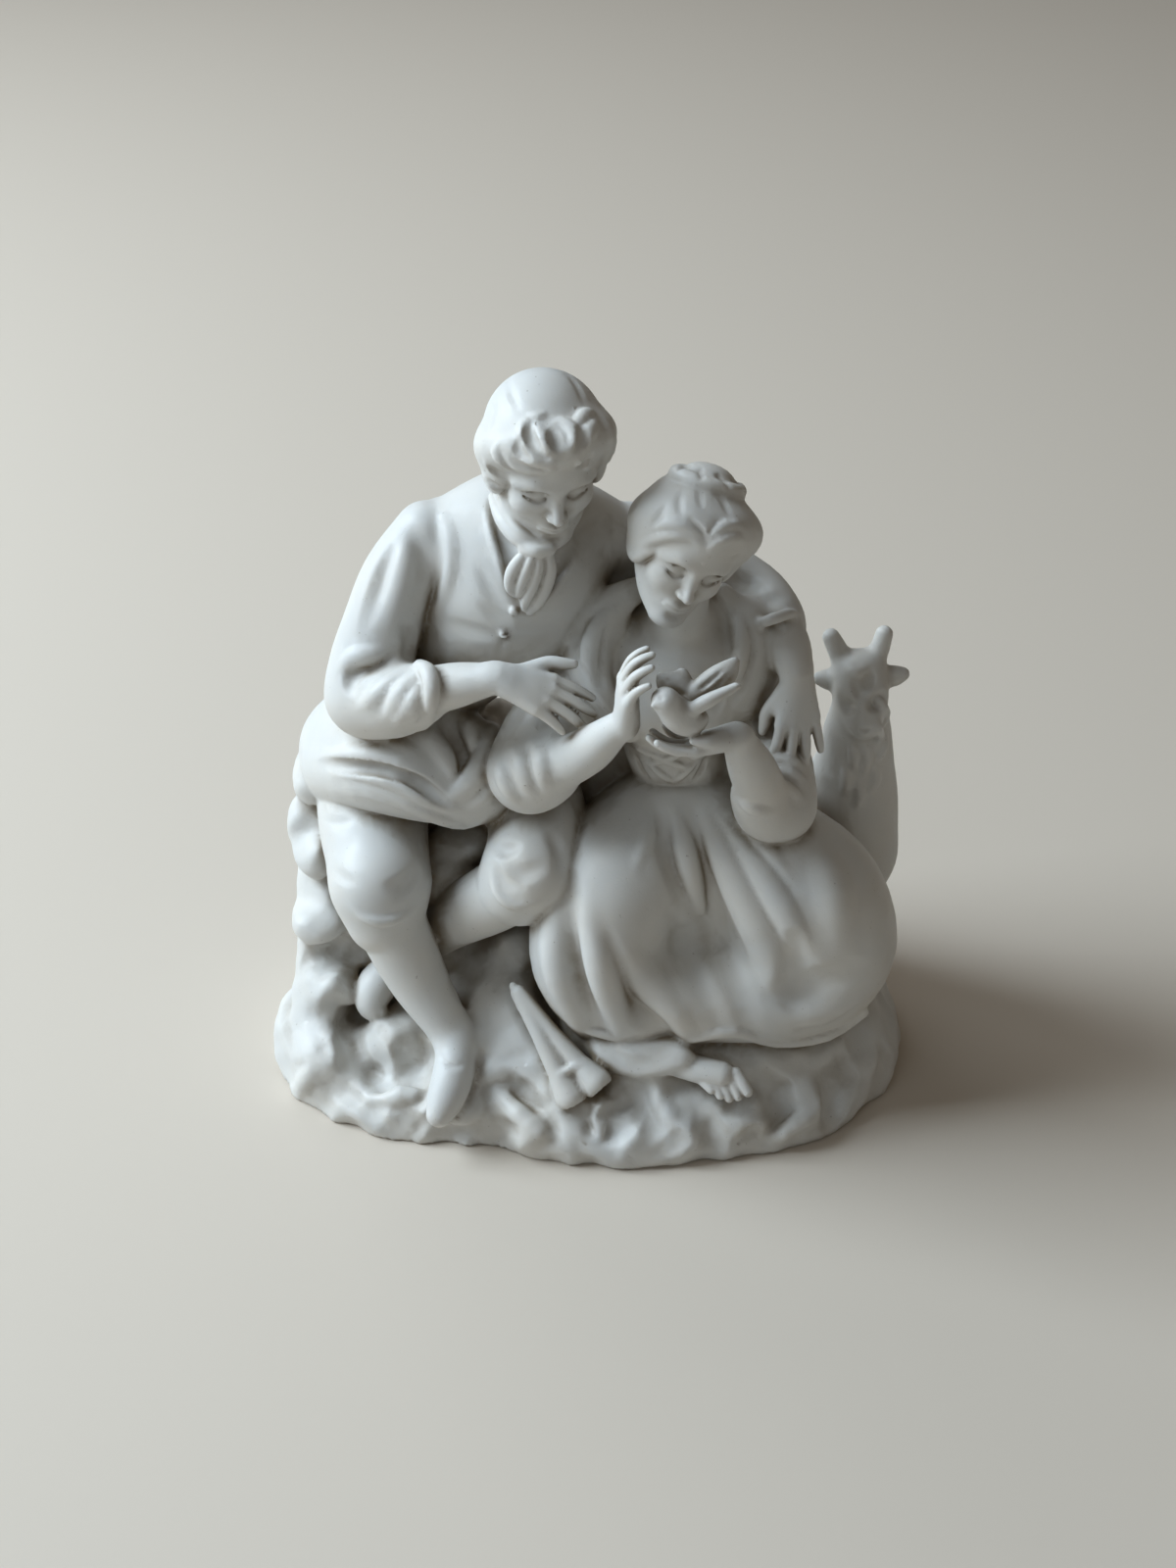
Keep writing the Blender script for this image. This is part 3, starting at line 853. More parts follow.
# Underskirt and foot
form(worked([
    chain([[0.7, -15, 16.3, 6], [9, -18, 16.9, 6.4], [18.1, -18, 17.4, 6]], soft=4),
    chain([[3.9, -22.6, 16.6, 3.8], [10, -25, 17.4, 4], [16.7, -26.4, 18.8, 3.3]], soft=3),
], [
    valley(1, [3.5, -1.7, 1.2], [9.3, -6.2, 2], [17.3, -3.7, 1.4]),
    valley(1, [19.1, -0.3, 1.2], [24, -2.2, 2], [29.1, -0.8, 1.4]),
    valley(0.9, [7.7, -0.8, 1], [12.3, -3.2, 1.6], [16.5, -1.7, 1]),
]))
form([
    chain([[15.3, -26, 16.6, 2.3], [19.8, -28, 16.7, 2.5], [24, -29.4, 16.7, 2.4]], soft=1.5),
    *[chain(toe, soft=0.25) for toe in (
        [[20.5, -29, 15.7, 1.3], [21.4, -30.4, 15.3, 1.05], [22.2, -31.4, 14.8, 0.85]],
        [[22.3, -29.6, 15.8, 1.2], [23.1, -31, 14.9, 0.95], [23.8, -32, 13.9, 0.8]],
        [[23.9, -29.8, 15.9, 1.2], [24.7, -31.2, 14.8, 0.95], [25.4, -32.2, 13.4, 0.8]],
        [[25.2, -29.8, 16.4, 1.2], [26.3, -31.2, 15.3, 0.95], [27, -32.2, 13.8, 0.8]],
        [[26.5, -29.6, 16.9, 1.3], [27.7, -31, 16, 1.1], [28.7, -32, 14.8, 1]],
    )],
])

# Heads
manHead = headAt([-7, -5, 126.4], nod=20, turn=15, lean=0, size=1.05)
girlHead = headAt([16.1, -10, 113.1], nod=13, turn=8, lean=22, size=0.97)
form(placed(face(), manHead))
form(worked(placed(shortHair(), manHead), [
    strand(0.84, [-6.4, 130, 0.9], [-4.2, 130.7, 1.3], [-2.1, 128.6, 1.4], [-2.4, 126, 1.3],
        [-4.5, 125, 0.9]),
    strand(0.63, [-7.2, 129.5, 0.7], [-6.6, 127.6, 0.9], [-7.4, 125.8, 0.7]),
    strand(0.63, [-9, 132.3, 0.9], [-10.6, 130, 1.3], [-10.5, 127.6, 1.1], [-8.9, 125.8, 0.8]),
    strand(0.49, [-9.9, 132.3, 0.8], [-8.2, 131.6, 1], [-7, 132.4, 0.7]),
    strand(0.91, [-2.2, 129.7, 1], [-0.6, 131.8, 1.5], [1, 132.6, 1]),
    strand(0.84, [1.3, 131.9, 1], [0.3, 129, 1.6], [-1.6, 125.8, 1.1]),
    strand(0.77, [2.6, 131.4, 1.1], [3.9, 128.1, 1.8], [3.1, 124.1, 1.6], [1, 121.4, 1]),
    strand(0.7, [-4.5, 124.8, 0.8], [-6.5, 123, 1], [-4.9, 122, 0.7]),
    strand(0.8, [-8.8, 131.4, 0.9], [-7.9, 128.6, 1.3], [-6.5, 125.8, 1.2], [-5.2, 124.4, 0.8]),
    strand(0.8, [-12.6, 126.7, 0.8], [-10.2, 124.3, 1.2], [-7.1, 123.2, 1.2], [-4.2, 123.7, 0.9]),
    strand(0.7, [-13.9, 125.1, 0.8], [-12, 122.7, 1.1], [-8.1, 121.8, 1.1], [-4.5, 122.5, 0.8]),
    strand(0.7, [-14.8, 127.9, 0.8], [-15.2, 125.1, 1.2], [-13.8, 123, 1.1], [-11.4, 121.2, 0.8]),
    strand(0.6, [-17.2, 124.1, 0.8], [-15.9, 122, 1.1], [-13.7, 120.5, 0.8]),
    strand(0.6, [-17.6, 121.6, 0.8], [-16.3, 119.5, 1.1], [-14.4, 117.8, 0.8]),
    strand(0.5, [-1.9, 124.1, 0.8], [-0.6, 123, 1.1], [1, 122.7, 0.8]),
    parting(0.8, [-5.8, 129.5, 0.8], [-5.5, 127.4, 1.2], [-4.4, 125.8, 0.8]),
    parting(0.7, [-9.6, 129.7, 0.7], [-9.5, 127.6, 1.1], [-7.8, 125.1, 0.8]),
    parting(0.6, [1, 125.1, 0.8], [-0.5, 123.4, 1], [-1.9, 122, 0.8]),
    parting(0.5, [-1.3, 129, 0.8], [-1, 126.9, 1.2], [-2.3, 124.4, 0.8]),
    parting(0.6, [-11.3, 127.6, 0.7], [-11.6, 125.5, 1], [-9.7, 124.4, 0.7]),
    parting(0.6, [-16.5, 123, 0.7], [-15, 121.4, 0.9], [-12.7, 120.5, 0.7]),
    parting(0.5, [-16.9, 120.5, 0.7], [-15.5, 119.1, 0.8], [-14, 118.4, 0.7]),
    parting(0.28, [-3.5, 139.3, 0.7], [-1.6, 136.6, 0.9], [-0.6, 133.5, 0.7]),
    parting(0.28, [-13, 138.3, 0.7], [-12.3, 135.2, 0.9], [-10.9, 132.4, 0.7]),
    parting(0.22, [0, 138.6, 0.7], [1.6, 135.9, 0.8], [2.2, 132.4, 0.7]),
    parting(0.22, [-15.6, 135.2, 0.7], [-15.4, 131.8, 0.8], [-16.1, 128.3, 0.7]),
    backValley(0.8, [-14, 134, 0.6], [-15, 124, 1], [-13, 116, 0.7]),
    backValley(0.8, [-7, 136, 0.6], [-7, 125, 1], [-8, 115, 0.7]),
    backValley(0.8, [0, 134, 0.6], [1, 124, 1], [-2, 116, 0.7]),
]), 0.35)
form(placed(face(jaw=0.86, nose=0.94), girlHead))
form(worked(placed(rolledHair(), girlHead), [
    parting(0.7, [16.4, 114, 0.7], [18.3, 111.1, 0.9], [19.5, 108.9, 0.9], [20.1, 106.5, 0.7]),
    parting(0.6, [22.5, 113.3, 0.7], [21.3, 110.8, 0.9], [20.5, 108.5, 0.9], [20.1, 106.3, 0.7]),
    strand(0.6, [19.9, 107.3, 0.7], [17, 109.5, 1.2], [13.6, 110, 1.3], [10.3, 108.7, 1.2],
        [7.8, 107.4, 0.8]),
    strand(0.6, [19.2, 109.3, 0.7], [15.8, 111.7, 1.2], [12.2, 112, 1.3], [8.9, 110.8, 1]),
    strand(0.6, [20.2, 107.1, 0.7], [22.7, 108.9, 1.2], [25.1, 109.5, 1.2], [27, 108.4, 0.8]),
    strand(0.5, [20.4, 108.9, 0.7], [22.6, 111.5, 1.2], [25.2, 111.9, 1.2], [27.3, 110.4, 0.8]),
    strand(0.5, [7.3, 105.2, 0.7], [9.3, 106.3, 1], [11.9, 107.1, 0.7]),
    parting(0.5, [23.1, 105.4, 0.7], [24.6, 105.6, 0.8], [26.1, 106.3, 0.7]),
    parting(0.28, [13.1, 116.2, 0.7], [12, 113.7, 0.8], [9.9, 111.1, 0.7]),
    parting(0.28, [15.8, 118.7, 0.7], [15.2, 115.9, 0.8], [16.1, 113, 0.7]),
    parting(0.28, [20.9, 118.7, 0.7], [22.6, 116.2, 0.8], [23.9, 113, 0.7]),
    parting(0.22, [18.6, 119.5, 0.7], [18.7, 116.9, 0.8], [19.2, 114.4, 0.7]),
]), 0.35)

# Bird
form(worked([
    egg([12.3, -30, 95.6], [2.15, 2, 2.1], soft=1),
    chain([[12.8, -30, 95.1, 1.7], [14.3, -29, 92.6, 2.8], [16.3, -28, 90.5, 2.7],
        [17.9, -27.6, 90.5, 1.8]], soft=1.5),
    chain([[11, -31, 95.5, 0.6], [10.1, -31.6, 95.3, 0.2]], soft=0.6),
    chain([[16.5, -29.6, 93.2, 1.4], [19.6, -29.6, 95.4, 1.5], [24, -28.6, 97.5, 0.8]], soft=0.8,
        squash=[0.3, 0.5, 0.8, 0.5]),
], [
    cut(0.3, [12.4, 78.5, 0.3], [12.8, 78.1, 0.4], [13.1, 77.7, 0.3]),
]))
form(worked([
    chain([[16.3, -27, 93.1, 1.6], [19.4, -26, 95.3, 2.7], [21.9, -25.4, 97.7, 2.3], [23.8, -25, 100, 0.8]],
        soft=1, squash=[0.25, 0.9, 0.35, 0.34]),
], [
    cut(0.5, [18.7, 76.9, 0.3], [22.1, 79.7, 0.4], [25.4, 84.1, 0.3]),
    cut(0.5, [18.3, 78.5, 0.3], [21.3, 81.3, 0.4], [24.7, 84.9, 0.3]),
]))
form([
    chain([[15, -26, 93.6, 1.8], [13.7, -25, 95.2, 2.4], [12.1, -24.2, 96.6, 1]], soft=1,
        squash=[0, 0.9, 0.3, 0.34]),
    chain([[14.7, -26, 94.4, 1.8], [15, -25, 96, 2], [15.3, -24.4, 97.7, 0.8]], soft=1,
        squash=[0, 0.9, 0.3, 0.34]),
])

# Goat
form(worked([
    chain([[47.5, 16, 36.1, 12], [49.2, 16, 46.3, 9.6], [50, 15, 54.6, 7.4], [49.9, 14, 62.8, 6.2],
        [49.9, 14, 69.1, 4.6]], soft=4),
    chain([[49.5, 14, 74.3, 5.2], [49.9, 11, 71.5, 4.5], [50.3, 7.5, 68.3, 2.9]], soft=3),
    *both(lambda side: [egg(add([49.8, 11, 73.6], [side * 3, 0, 0]), [1.5, 2, 1.6], soft=1)]),
    chain([[46.4, 15, 77.1, 2], [45.1, 15.5, 79.6, 1.8], [44.1, 16, 81.4, 1.6]], soft=1.4),
    chain([[52.1, 15, 77.1, 2], [53.1, 15.5, 79.6, 1.8], [53.7, 16, 82, 1.6]], soft=1.4),
    chain([[47, 15, 73.8, 1.8], [44.5, 15, 73.1, 2], [42.5, 15, 73.3, 1.3]], soft=1.2),
    chain([[53.3, 15, 73.8, 1.8], [55.6, 15, 73.8, 2], [57.5, 15, 74.2, 1.3]], soft=1.2),
    chain([[44, 16, 34, 12], [32, 23, 29, 12.4], [14, 27, 26, 12.4], [0, 27, 23, 11.4]], soft=5),
    egg([1, 30, 21], [11, 8, 11], soft=3),
    chain([[6, 36, 12, 4], [-4, 36, 8, 3.2], [-14, 33, 7, 2.6]], soft=1.5),
    chain([[40, 30, 18, 4.4], [30, 34, 11, 3.4], [42, 34, 7, 2.8]], soft=2),
    chain([[-9, 25, 28, 2.6], [-13, 25, 24, 1.6]], soft=1.5),
], [
    valley(1.2, [44.6, 77.3, 0.8], [45.6, 76.1, 1.1], [46.8, 76.1, 0.8]),
    valley(1.2, [49.9, 76.5, 0.8], [50.9, 76.9, 1.1], [52, 78.3, 0.8]),
    cut(0.5, [47.6, 71.8, 0.4], [49.2, 71, 0.5], [50.7, 72, 0.4]),
    valley(1, [46.8, 81.3, 0.7], [47.8, 79.7, 1], [48.1, 77.7, 0.7]),
    valley(0.8, [49.4, 83.7, 0.7], [49.2, 81.7, 1], [49, 79.7, 0.7]),
    crest(0.8, [45.6, 84.5, 0.8], [47, 83.3, 1.1], [48.3, 84.1, 0.8]),
    strand(0.8, [51.5, 78.1, 0.9], [52.8, 74.9, 1.2], [52.3, 71.6, 0.9]),
    strand(0.8, [50.7, 74.5, 0.9], [52, 70.4, 1.2], [51.3, 66.7, 0.9]),
    strand(0.8, [52.7, 71.6, 0.9], [52.9, 67.9, 1.2], [51.8, 64.2, 0.9]),
    strand(0.8, [49, 69.2, 0.9], [50.3, 65.4, 1.2], [49.5, 61.7, 0.9]),
    strand(0.8, [46.5, 70, 0.9], [47.8, 65.8, 1.2], [47.3, 62.1, 0.9]),
    strand(0.8, [51.4, 64.6, 0.9], [52, 60.8, 1.2], [50.5, 57.4, 0.9]),
    strand(0.8, [45.7, 65, 0.9], [46.7, 60.8, 1.2], [45.8, 57.4, 0.9]),
    strand(0.7, [48.8, 60.8, 0.9], [49.4, 57.4, 1.2], [48.2, 54, 0.9]),
    backValley(1.4, [22, 34, 1.6], [18, 24, 2.6], [14, 14, 2]),
    backValley(1.4, [10, 34, 1.6], [11, 26, 2.4], [16, 18, 2]),
]))

# Pipes
form([
    chain([[-12.8, -18.5, 26.5, 1.2], [-8.9, -23.4, 21.1, 1.5], [-5.3, -27.4, 15.3, 2],
        [-3.2, -29.5, 11.7, 2.9]], soft=0.4, smooth=False),
    chain([[-12.5, -18.5, 27, 1.2], [-7.1, -22.6, 21.6, 1.5], [-1.8, -26.4, 16.7, 2],
        [1.4, -28.6, 14.2, 2.9]], soft=0.4, smooth=False),
    chain([[-13.6, -17, 27.1, 0.8], [-11.6, -19, 24.2, 1.4]], soft=0.8),
    chain([[-5, -28.6, 16.1, 0.8], [-2.5, -28, 17.2, 0.8], [-1.1, -27.4, 17.3, 0.8]], soft=0.4),
    egg([-1.3, -31.4, 8.4], [3.4, 3.4, 3.4], soft=0.3, carve=True),
    egg([4.2, -30.7, 11.7], [3.4, 3.4, 3.4], soft=0.3, carve=True),
])


# Joining and tracing

cubeCorners = list(product((0, 1), repeat=3))

for f in forms:
    f["lows"] = np.array([s["low"] for s in f["strokes"]])
    f["highs"] = np.array([s["high"] for s in f["strokes"]])
    f["reach"] = max([s["soft"] for s in f["strokes"]] + [f["join"]])
say(f"{sum(len(f['strokes']) for f in forms)} strokes laid out")


def fieldAt(p, margin):  # signed distance to the whole group, worked out cube by cube of 8 mm
    key = np.floor(p / 8).astype(int) @ (1, 1000, 1000000)
    order = np.argsort(key, kind="stable")
    field = np.empty(len(p))
    for cube in np.split(order, np.flatnonzero(np.diff(key[order])) + 1):
        field[cube] = fieldOf(p[cube], margin)
    return field


def fieldOf(p, margin):
    low, high = p.min(0), p.max(0)
    field = np.full(len(p), clay["far"])
    for f in forms:
        reach = f["reach"] + margin
        near = ((f["lows"] - reach < high) & (f["highs"] + reach > low)).all(1)
        if not near.any():
            continue
        own = np.full(len(p), clay["far"])
        for s, close in zip(f["strokes"], near):
            if not close:
                continue
            d = s["distance"](p, s["soft"] + margin)
            own = -melt(-own, d, s["soft"]) if s["carve"] else melt(own, d, s["soft"])
        if f["grain"]:
            own = own + f["grain"](p)
        field = melt(field, own, f["join"])
    return np.maximum(field, -p[:, 2])


# Signed distance on a lattice, in blocks near the surface only, first coarse and then fine
def latticeField(cell):
    span = 8
    low = np.min([f["lows"].min(0) for f in forms], 0) - 3 * cell
    high = np.max([f["highs"].max(0) for f in forms], 0) + 3 * cell
    low[2] = -2.5 * cell
    blocks = np.ceil((high - low) / (cell * span)).astype(int)
    field = np.full(blocks + 1, clay["far"], np.float32)
    todo = np.ones(blocks + 1, bool)
    while True:
        index = np.argwhere(todo)
        field[todo] = fieldAt(low + index * cell * span, 2 * cell * span)
        if span == 1:
            return field, low
        cubes = np.array(field.shape) - 1
        corners = np.stack([field[i:cubes[0] + i, j:cubes[1] + j, k:cubes[2] + k]
                            for i, j, k in cubeCorners])
        active = np.abs(corners).min(0) < cell * span
        finer = np.where(corners[0] < 0, -clay["far"], clay["far"]).astype(np.float32)
        for c in range(3):
            finer = np.repeat(finer, 2, c)
            active = np.repeat(active, 2, c)
        span //= 2
        size = 2 * cubes + 1
        field = np.full(size, clay["far"], np.float32)
        field[:-1, :-1, :-1] = finer
        todo = np.zeros(size, bool)
        for i, j, k in cubeCorners:
            todo[i:size[0] - 1 + i, j:size[1] - 1 + j, k:size[2] - 1 + k] |= active


# One vertex in each lattice cell that the surface crosses, one quad on each crossed edge
def traceSurface(field, low, cell):
    inside = field < 0
    shape = np.array(field.shape) - 1
    count = np.zeros(shape, np.uint8)
    for i, j, k in cubeCorners:
        count += inside[i:shape[0] + i, j:shape[1] + j, k:shape[2] + k]
    cells = np.argwhere((count > 0) & (count < 8))
    number = np.full(shape, -1, np.int32)
    number[tuple(cells.T)] = np.arange(len(cells))
    corner = [(i, j, k) for k, j, i in cubeCorners]  # number a has its bits as its place
    values = [field[cells[:, 0] + i, cells[:, 1] + j, cells[:, 2] + k].astype(float) for i, j, k in corner]
    total, crossings = np.zeros((len(cells), 3)), np.zeros(len(cells))
    for a in range(8):
        for axis in range(3):
            b = a | (1 << axis)
            if b == a:
                continue
            fa, fb = values[a], values[b]
            crossed = (fa < 0) != (fb < 0)
            t = np.where(crossed, fa / np.where(crossed, fa - fb, 1), 0)
            spot = np.array(corner[a], float) + t[:, None] * np.eye(3)[axis]
            total += np.where(crossed[:, None], spot, 0)
            crossings += crossed
    vertices = low + (cells + total / crossings[:, None]) * cell
    quads = []
    for axis in range(3):
        u, v = (axis + 1) % 3, (axis + 2) % 3
        here = [slice(1, shape[c]) for c in range(3)]
        there = list(here)
        there[axis] = slice(2, shape[axis] + 1)
        a, b = inside[tuple(here)], inside[tuple(there)]
        edges = np.argwhere(a != b) + 1
        out = a[tuple((edges - 1).T)]
        ring = []
        for du, dv in ((0, 0), (1, 0), (1, 1), (0, 1)):
            e = edges.copy()
            e[:, u] -= du
            e[:, v] -= dv
            ring.append(number[tuple(e.T)])
        ring = np.stack(ring, 1)
        quads.append(np.where(out[:, None], ring, ring[:, ::-1]))
    return vertices, np.concatenate(quads)


def ontoSurface(p, cell):  # moves points onto the exact zero of the field, in two steps down its slope
    step, furthest = 0.25 * cell, 0.6 * cell
    base = fieldAt(p, cell)
    slope = np.stack([fieldAt(p + step * e, cell) - base for e in np.eye(3)], 1) / step
    slope /= np.maximum((slope * slope).sum(1), 0.2)[:, None]
    p = p - slope * np.clip(base, -furthest, furthest)[:, None]
    base = fieldAt(p, cell)
    return p - slope * np.clip(base, -furthest, furthest)[:, None]


def meshFrom(name, vertices, faces):
    mesh = bpy.data.meshes.new(name)
    mesh.vertices.add(len(vertices))
    mesh.vertices.foreach_set("co", np.asarray(vertices, np.float32).ravel())
    mesh.loops.add(faces.size)
    mesh.loops.foreach_set("vertex_index", np.asarray(faces, np.int32).ravel())
    mesh.polygons.add(len(faces))
    mesh.polygons.foreach_set("loop_start", np.arange(len(faces), dtype=np.int32) * faces.shape[1])
    mesh.update(calc_edges=True)
    mesh.validate()
    return mesh


def coordinates(mesh):
    co = np.zeros(len(mesh.vertices) * 3, np.float32)
    mesh.vertices.foreach_get("co", co)
    return co.reshape(-1, 3).astype(float)


def applyModifiers(obj):
    depsgraph = bpy.context.evaluated_depsgraph_get()
    mesh = bpy.data.meshes.new_from_object(obj.evaluated_get(depsgraph))
    obj.modifiers.clear()
    obj.data = mesh


def mainBodyOnly(obj):  # drops any loose crumb that isn't joined to the group
    bm = bmesh.new()
    bm.from_mesh(obj.data)
    bm.verts.ensure_lookup_table()
    label = np.full(len(bm.verts), -1)
    best = (0, -1)
    for start in bm.verts:
        if label[start.index] >= 0:
            continue
        label[start.index] = start.index
        stack, size = [start], 0
        while stack:
            v = stack.pop()
            size += 1
            for e in v.link_edges:
                w = e.other_vert(v)
                if label[w.index] < 0:
                    label[w.index] = start.index
                    stack.append(w)
        best = max(best, (size, start.index))
    bmesh.ops.delete(bm, geom=[v for v in bm.verts if label[v.index] != best[1]], context="VERTS")
    bm.to_mesh(obj.data)
    bm.free()


# Faces, hands and the animals' heads are traced more finely than the rest. Each place has its centre, its
# reach and how often the lattice is halved there.
closeWork = {
    "man's head": (manHead["origin"], 15, 1),
    "man's face": (np.array(manHead["origin"]) + (2, -9, -5), 9.5, 2),
    "girl's head": (girlHead["origin"], 14, 1),
    "girl's face": (np.array(girlHead["origin"]) + (-1, -9, -5), 9, 2),
    "man's right hand": ([-8, -17, 90.5], 11, 1),
    "man's left hand": ([37, -9, 79], 11, 1),
    "girl's right hand": ([8, -25, 95], 9, 1),
    "girl's left hand and the bird": ([17, -26, 91], 13, 1),
    "goat's head": ([50, 12, 74], 11, 1),
    "cravat": ([-10.5, -10, 107], 7, 1),
    "lacing": ([15.5, -8, 69.5], 7, 1),
    "bare foot": ([24, -29, 15], 6, 1),
}


def refined(vertices, triangles, chosen):  # splits every edge between two chosen vertices in the middle
    edges = np.sort(np.concatenate([triangles[:, [0, 1]], triangles[:, [1, 2]], triangles[:, [2, 0]]]), 1)
    split = chosen[edges].all(1)
    keys = edges[:, 0].astype(np.int64) * len(vertices) + edges[:, 1]
    unique, back = np.unique(keys[split], return_inverse=True)
    ends = np.stack([unique // len(vertices), unique % len(vertices)], 1)
    middleOf = np.full(len(edges), -1)
    middleOf[split] = len(vertices) + back
    middleOf = middleOf.reshape(3, -1).T
    vertices = np.concatenate([vertices, vertices[ends].mean(1)])
    count = (middleOf >= 0).sum(1)
    out = [triangles[count == 0]]
    a, b, c = triangles[count == 3].T
    ab, bc, ca = middleOf[count == 3].T
    for corners in ((a, ab, ca), (ab, b, bc), (ca, bc, c), (ab, bc, ca)):
        out.append(np.stack(corners, 1))
    for turn in range(3):
        one = (count == 1) & (middleOf[:, turn] >= 0)
        a, b, c = np.roll(triangles[one], -turn, 1).T
        ab = middleOf[one, turn]
        out += [np.stack((a, ab, c), 1), np.stack((ab, b, c), 1)]
    return vertices, np.concatenate(out)


def castFigurine():
    cell = clay["lattice"]
    field, low = latticeField(cell)
    say(f"lattice of {field.shape} traced")
    vertices, quads = traceSurface(field, low, cell)
    vertices = ontoSurface(vertices, cell)
    triangles = np.concatenate([quads[:, [0, 1, 2]], quads[:, [0, 2, 3]]])
    say(f"{len(triangles)} triangles on the surface")
    for level in ((1, 2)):
        chosen = np.zeros(len(vertices), bool)
        for centre, reach, halvings in closeWork.values():
            if halvings >= level:
                chosen |= np.linalg.norm(vertices - centre, axis=1) < reach
        before = len(vertices)
        vertices, triangles = refined(vertices, triangles, chosen)
        vertices[before:] = ontoSurface(vertices[before:], cell / 2 ** level)
        say(f"{len(triangles)} triangles after close work {level}")
    vertices[:, 2] = np.maximum(vertices[:, 2], 0)
    figure = bpy.data.objects.new("figurine", meshFrom("figurine", vertices, triangles))
    bpy.context.scene.collection.objects.link(figure)
    mainBodyOnly(figure)
    thin = figure.modifiers.new("thin", "DECIMATE")
    thin.use_collapse_triangulate = True
    thin.ratio = min(1.0, clay["triangles"] / len(figure.data.polygons))
    applyModifiers(figure)
    say(f"thinned to {len(figure.data.polygons)} triangles")
    return figure, field < 0, low


figurine, solidCells, latticeLow = castFigurine()
claySpots = coordinates(figurine.data)
claySpots[:, 2] = np.maximum(claySpots[:, 2], 0)
figurine.data.vertices.foreach_set("co", claySpots.astype(np.float32).ravel())
middle = (claySpots.min(0) + claySpots.max(0)) / 2
shift = Vector([(low + high) / 2 - m / 1000 for low, high, m in zip(cadLow[:2], cadHigh[:2], middle)] + [0])


# Finish

masks = {
    "creaseReach": (1.0, 3.0),                  # heights over the surface where the field is asked for
    "ways": 32,                                 # directions of sky round each point
    "turnBetween": 137.5,                       # degrees from one way to the next
    "lift": 0.9,                                # the ways start this far over the surface
    "skyReach": (1.5, 3, 5, 8, 12, 17),         # places along a way that are looked at
}


def hollowness(points, normals):  # 0 in the open, towards 1 deep in a crease, from the field itself
    total = np.zeros(len(points))
    for reach in masks["creaseReach"]:
        d = fieldAt(points + normals * reach, 1.5)
        total += np.clip(1 - d / reach, 0, 1)
    return total / 2


def shelter(points, normals):  # the share of the sky over each point that the group itself hides
    hidden, whole = np.zeros(len(points)), np.zeros(len(points))
    start = points + normals * masks["lift"] - latticeLow
    for i in range(masks["ways"]):
        rise = (2 * i + 1) / masks["ways"] - 1
        flat = math.sqrt(1 - rise * rise)
        bearing = masks["turnBetween"] * i
        way = np.array([flat * cos(bearing), flat * sin(bearing), rise])
        facing = np.clip(normals @ way, 0, None)
        blocked = np.zeros(len(points), bool)
        for reach in masks["skyReach"]:
            cells = ((start + way * reach) / clay["lattice"]).astype(int)
            cells = np.clip(cells, 0, np.array(solidCells.shape) - 1)
            blocked |= solidCells[tuple(cells.T)]
        hidden += facing * blocked
        whole += facing
    return hidden / whole


def stored(name, values):
    layer = figurine.data.attributes.new(name, "FLOAT", "POINT")
    layer.data.foreach_set("value", values.astype(np.float32))


normals = np.zeros(len(claySpots) * 3, np.float32)
figurine.data.vertices.foreach_get("normal", normals)
normals = normals.reshape(-1, 3).astype(float)
stored("hollow", hollowness(claySpots, normals))
stored("sheltered", shelter(claySpots, normals))
figurine.data.transform(Matrix.Scale(0.001, 4))
figurine.data.transform(Matrix.Translation(shift))
figurine.data.shade_smooth()
say("creases and sheltered places measured")

bisqueLook = {
    "body": (0.64, 0.62, 0.58, 1), "cool": (0.6, 0.6, 0.585, 1),    # two tones of the fired clay
    "dust": (0.24, 0.195, 0.14, 1), "toning": (0.23, 0.18, 0.12, 1),  # where sheltered, and in creases
    "speck": (0.2, 0.16, 0.12, 1),
    "roughness": (0.42, 0.6),
    "grainStrength": 0.12, "grainHeight": 0.0002,
    "glow": 0.12, "glowRadius": (1.0, 0.8, 0.6), "glowScale": 0.001,  # light that the thin edges let in
}


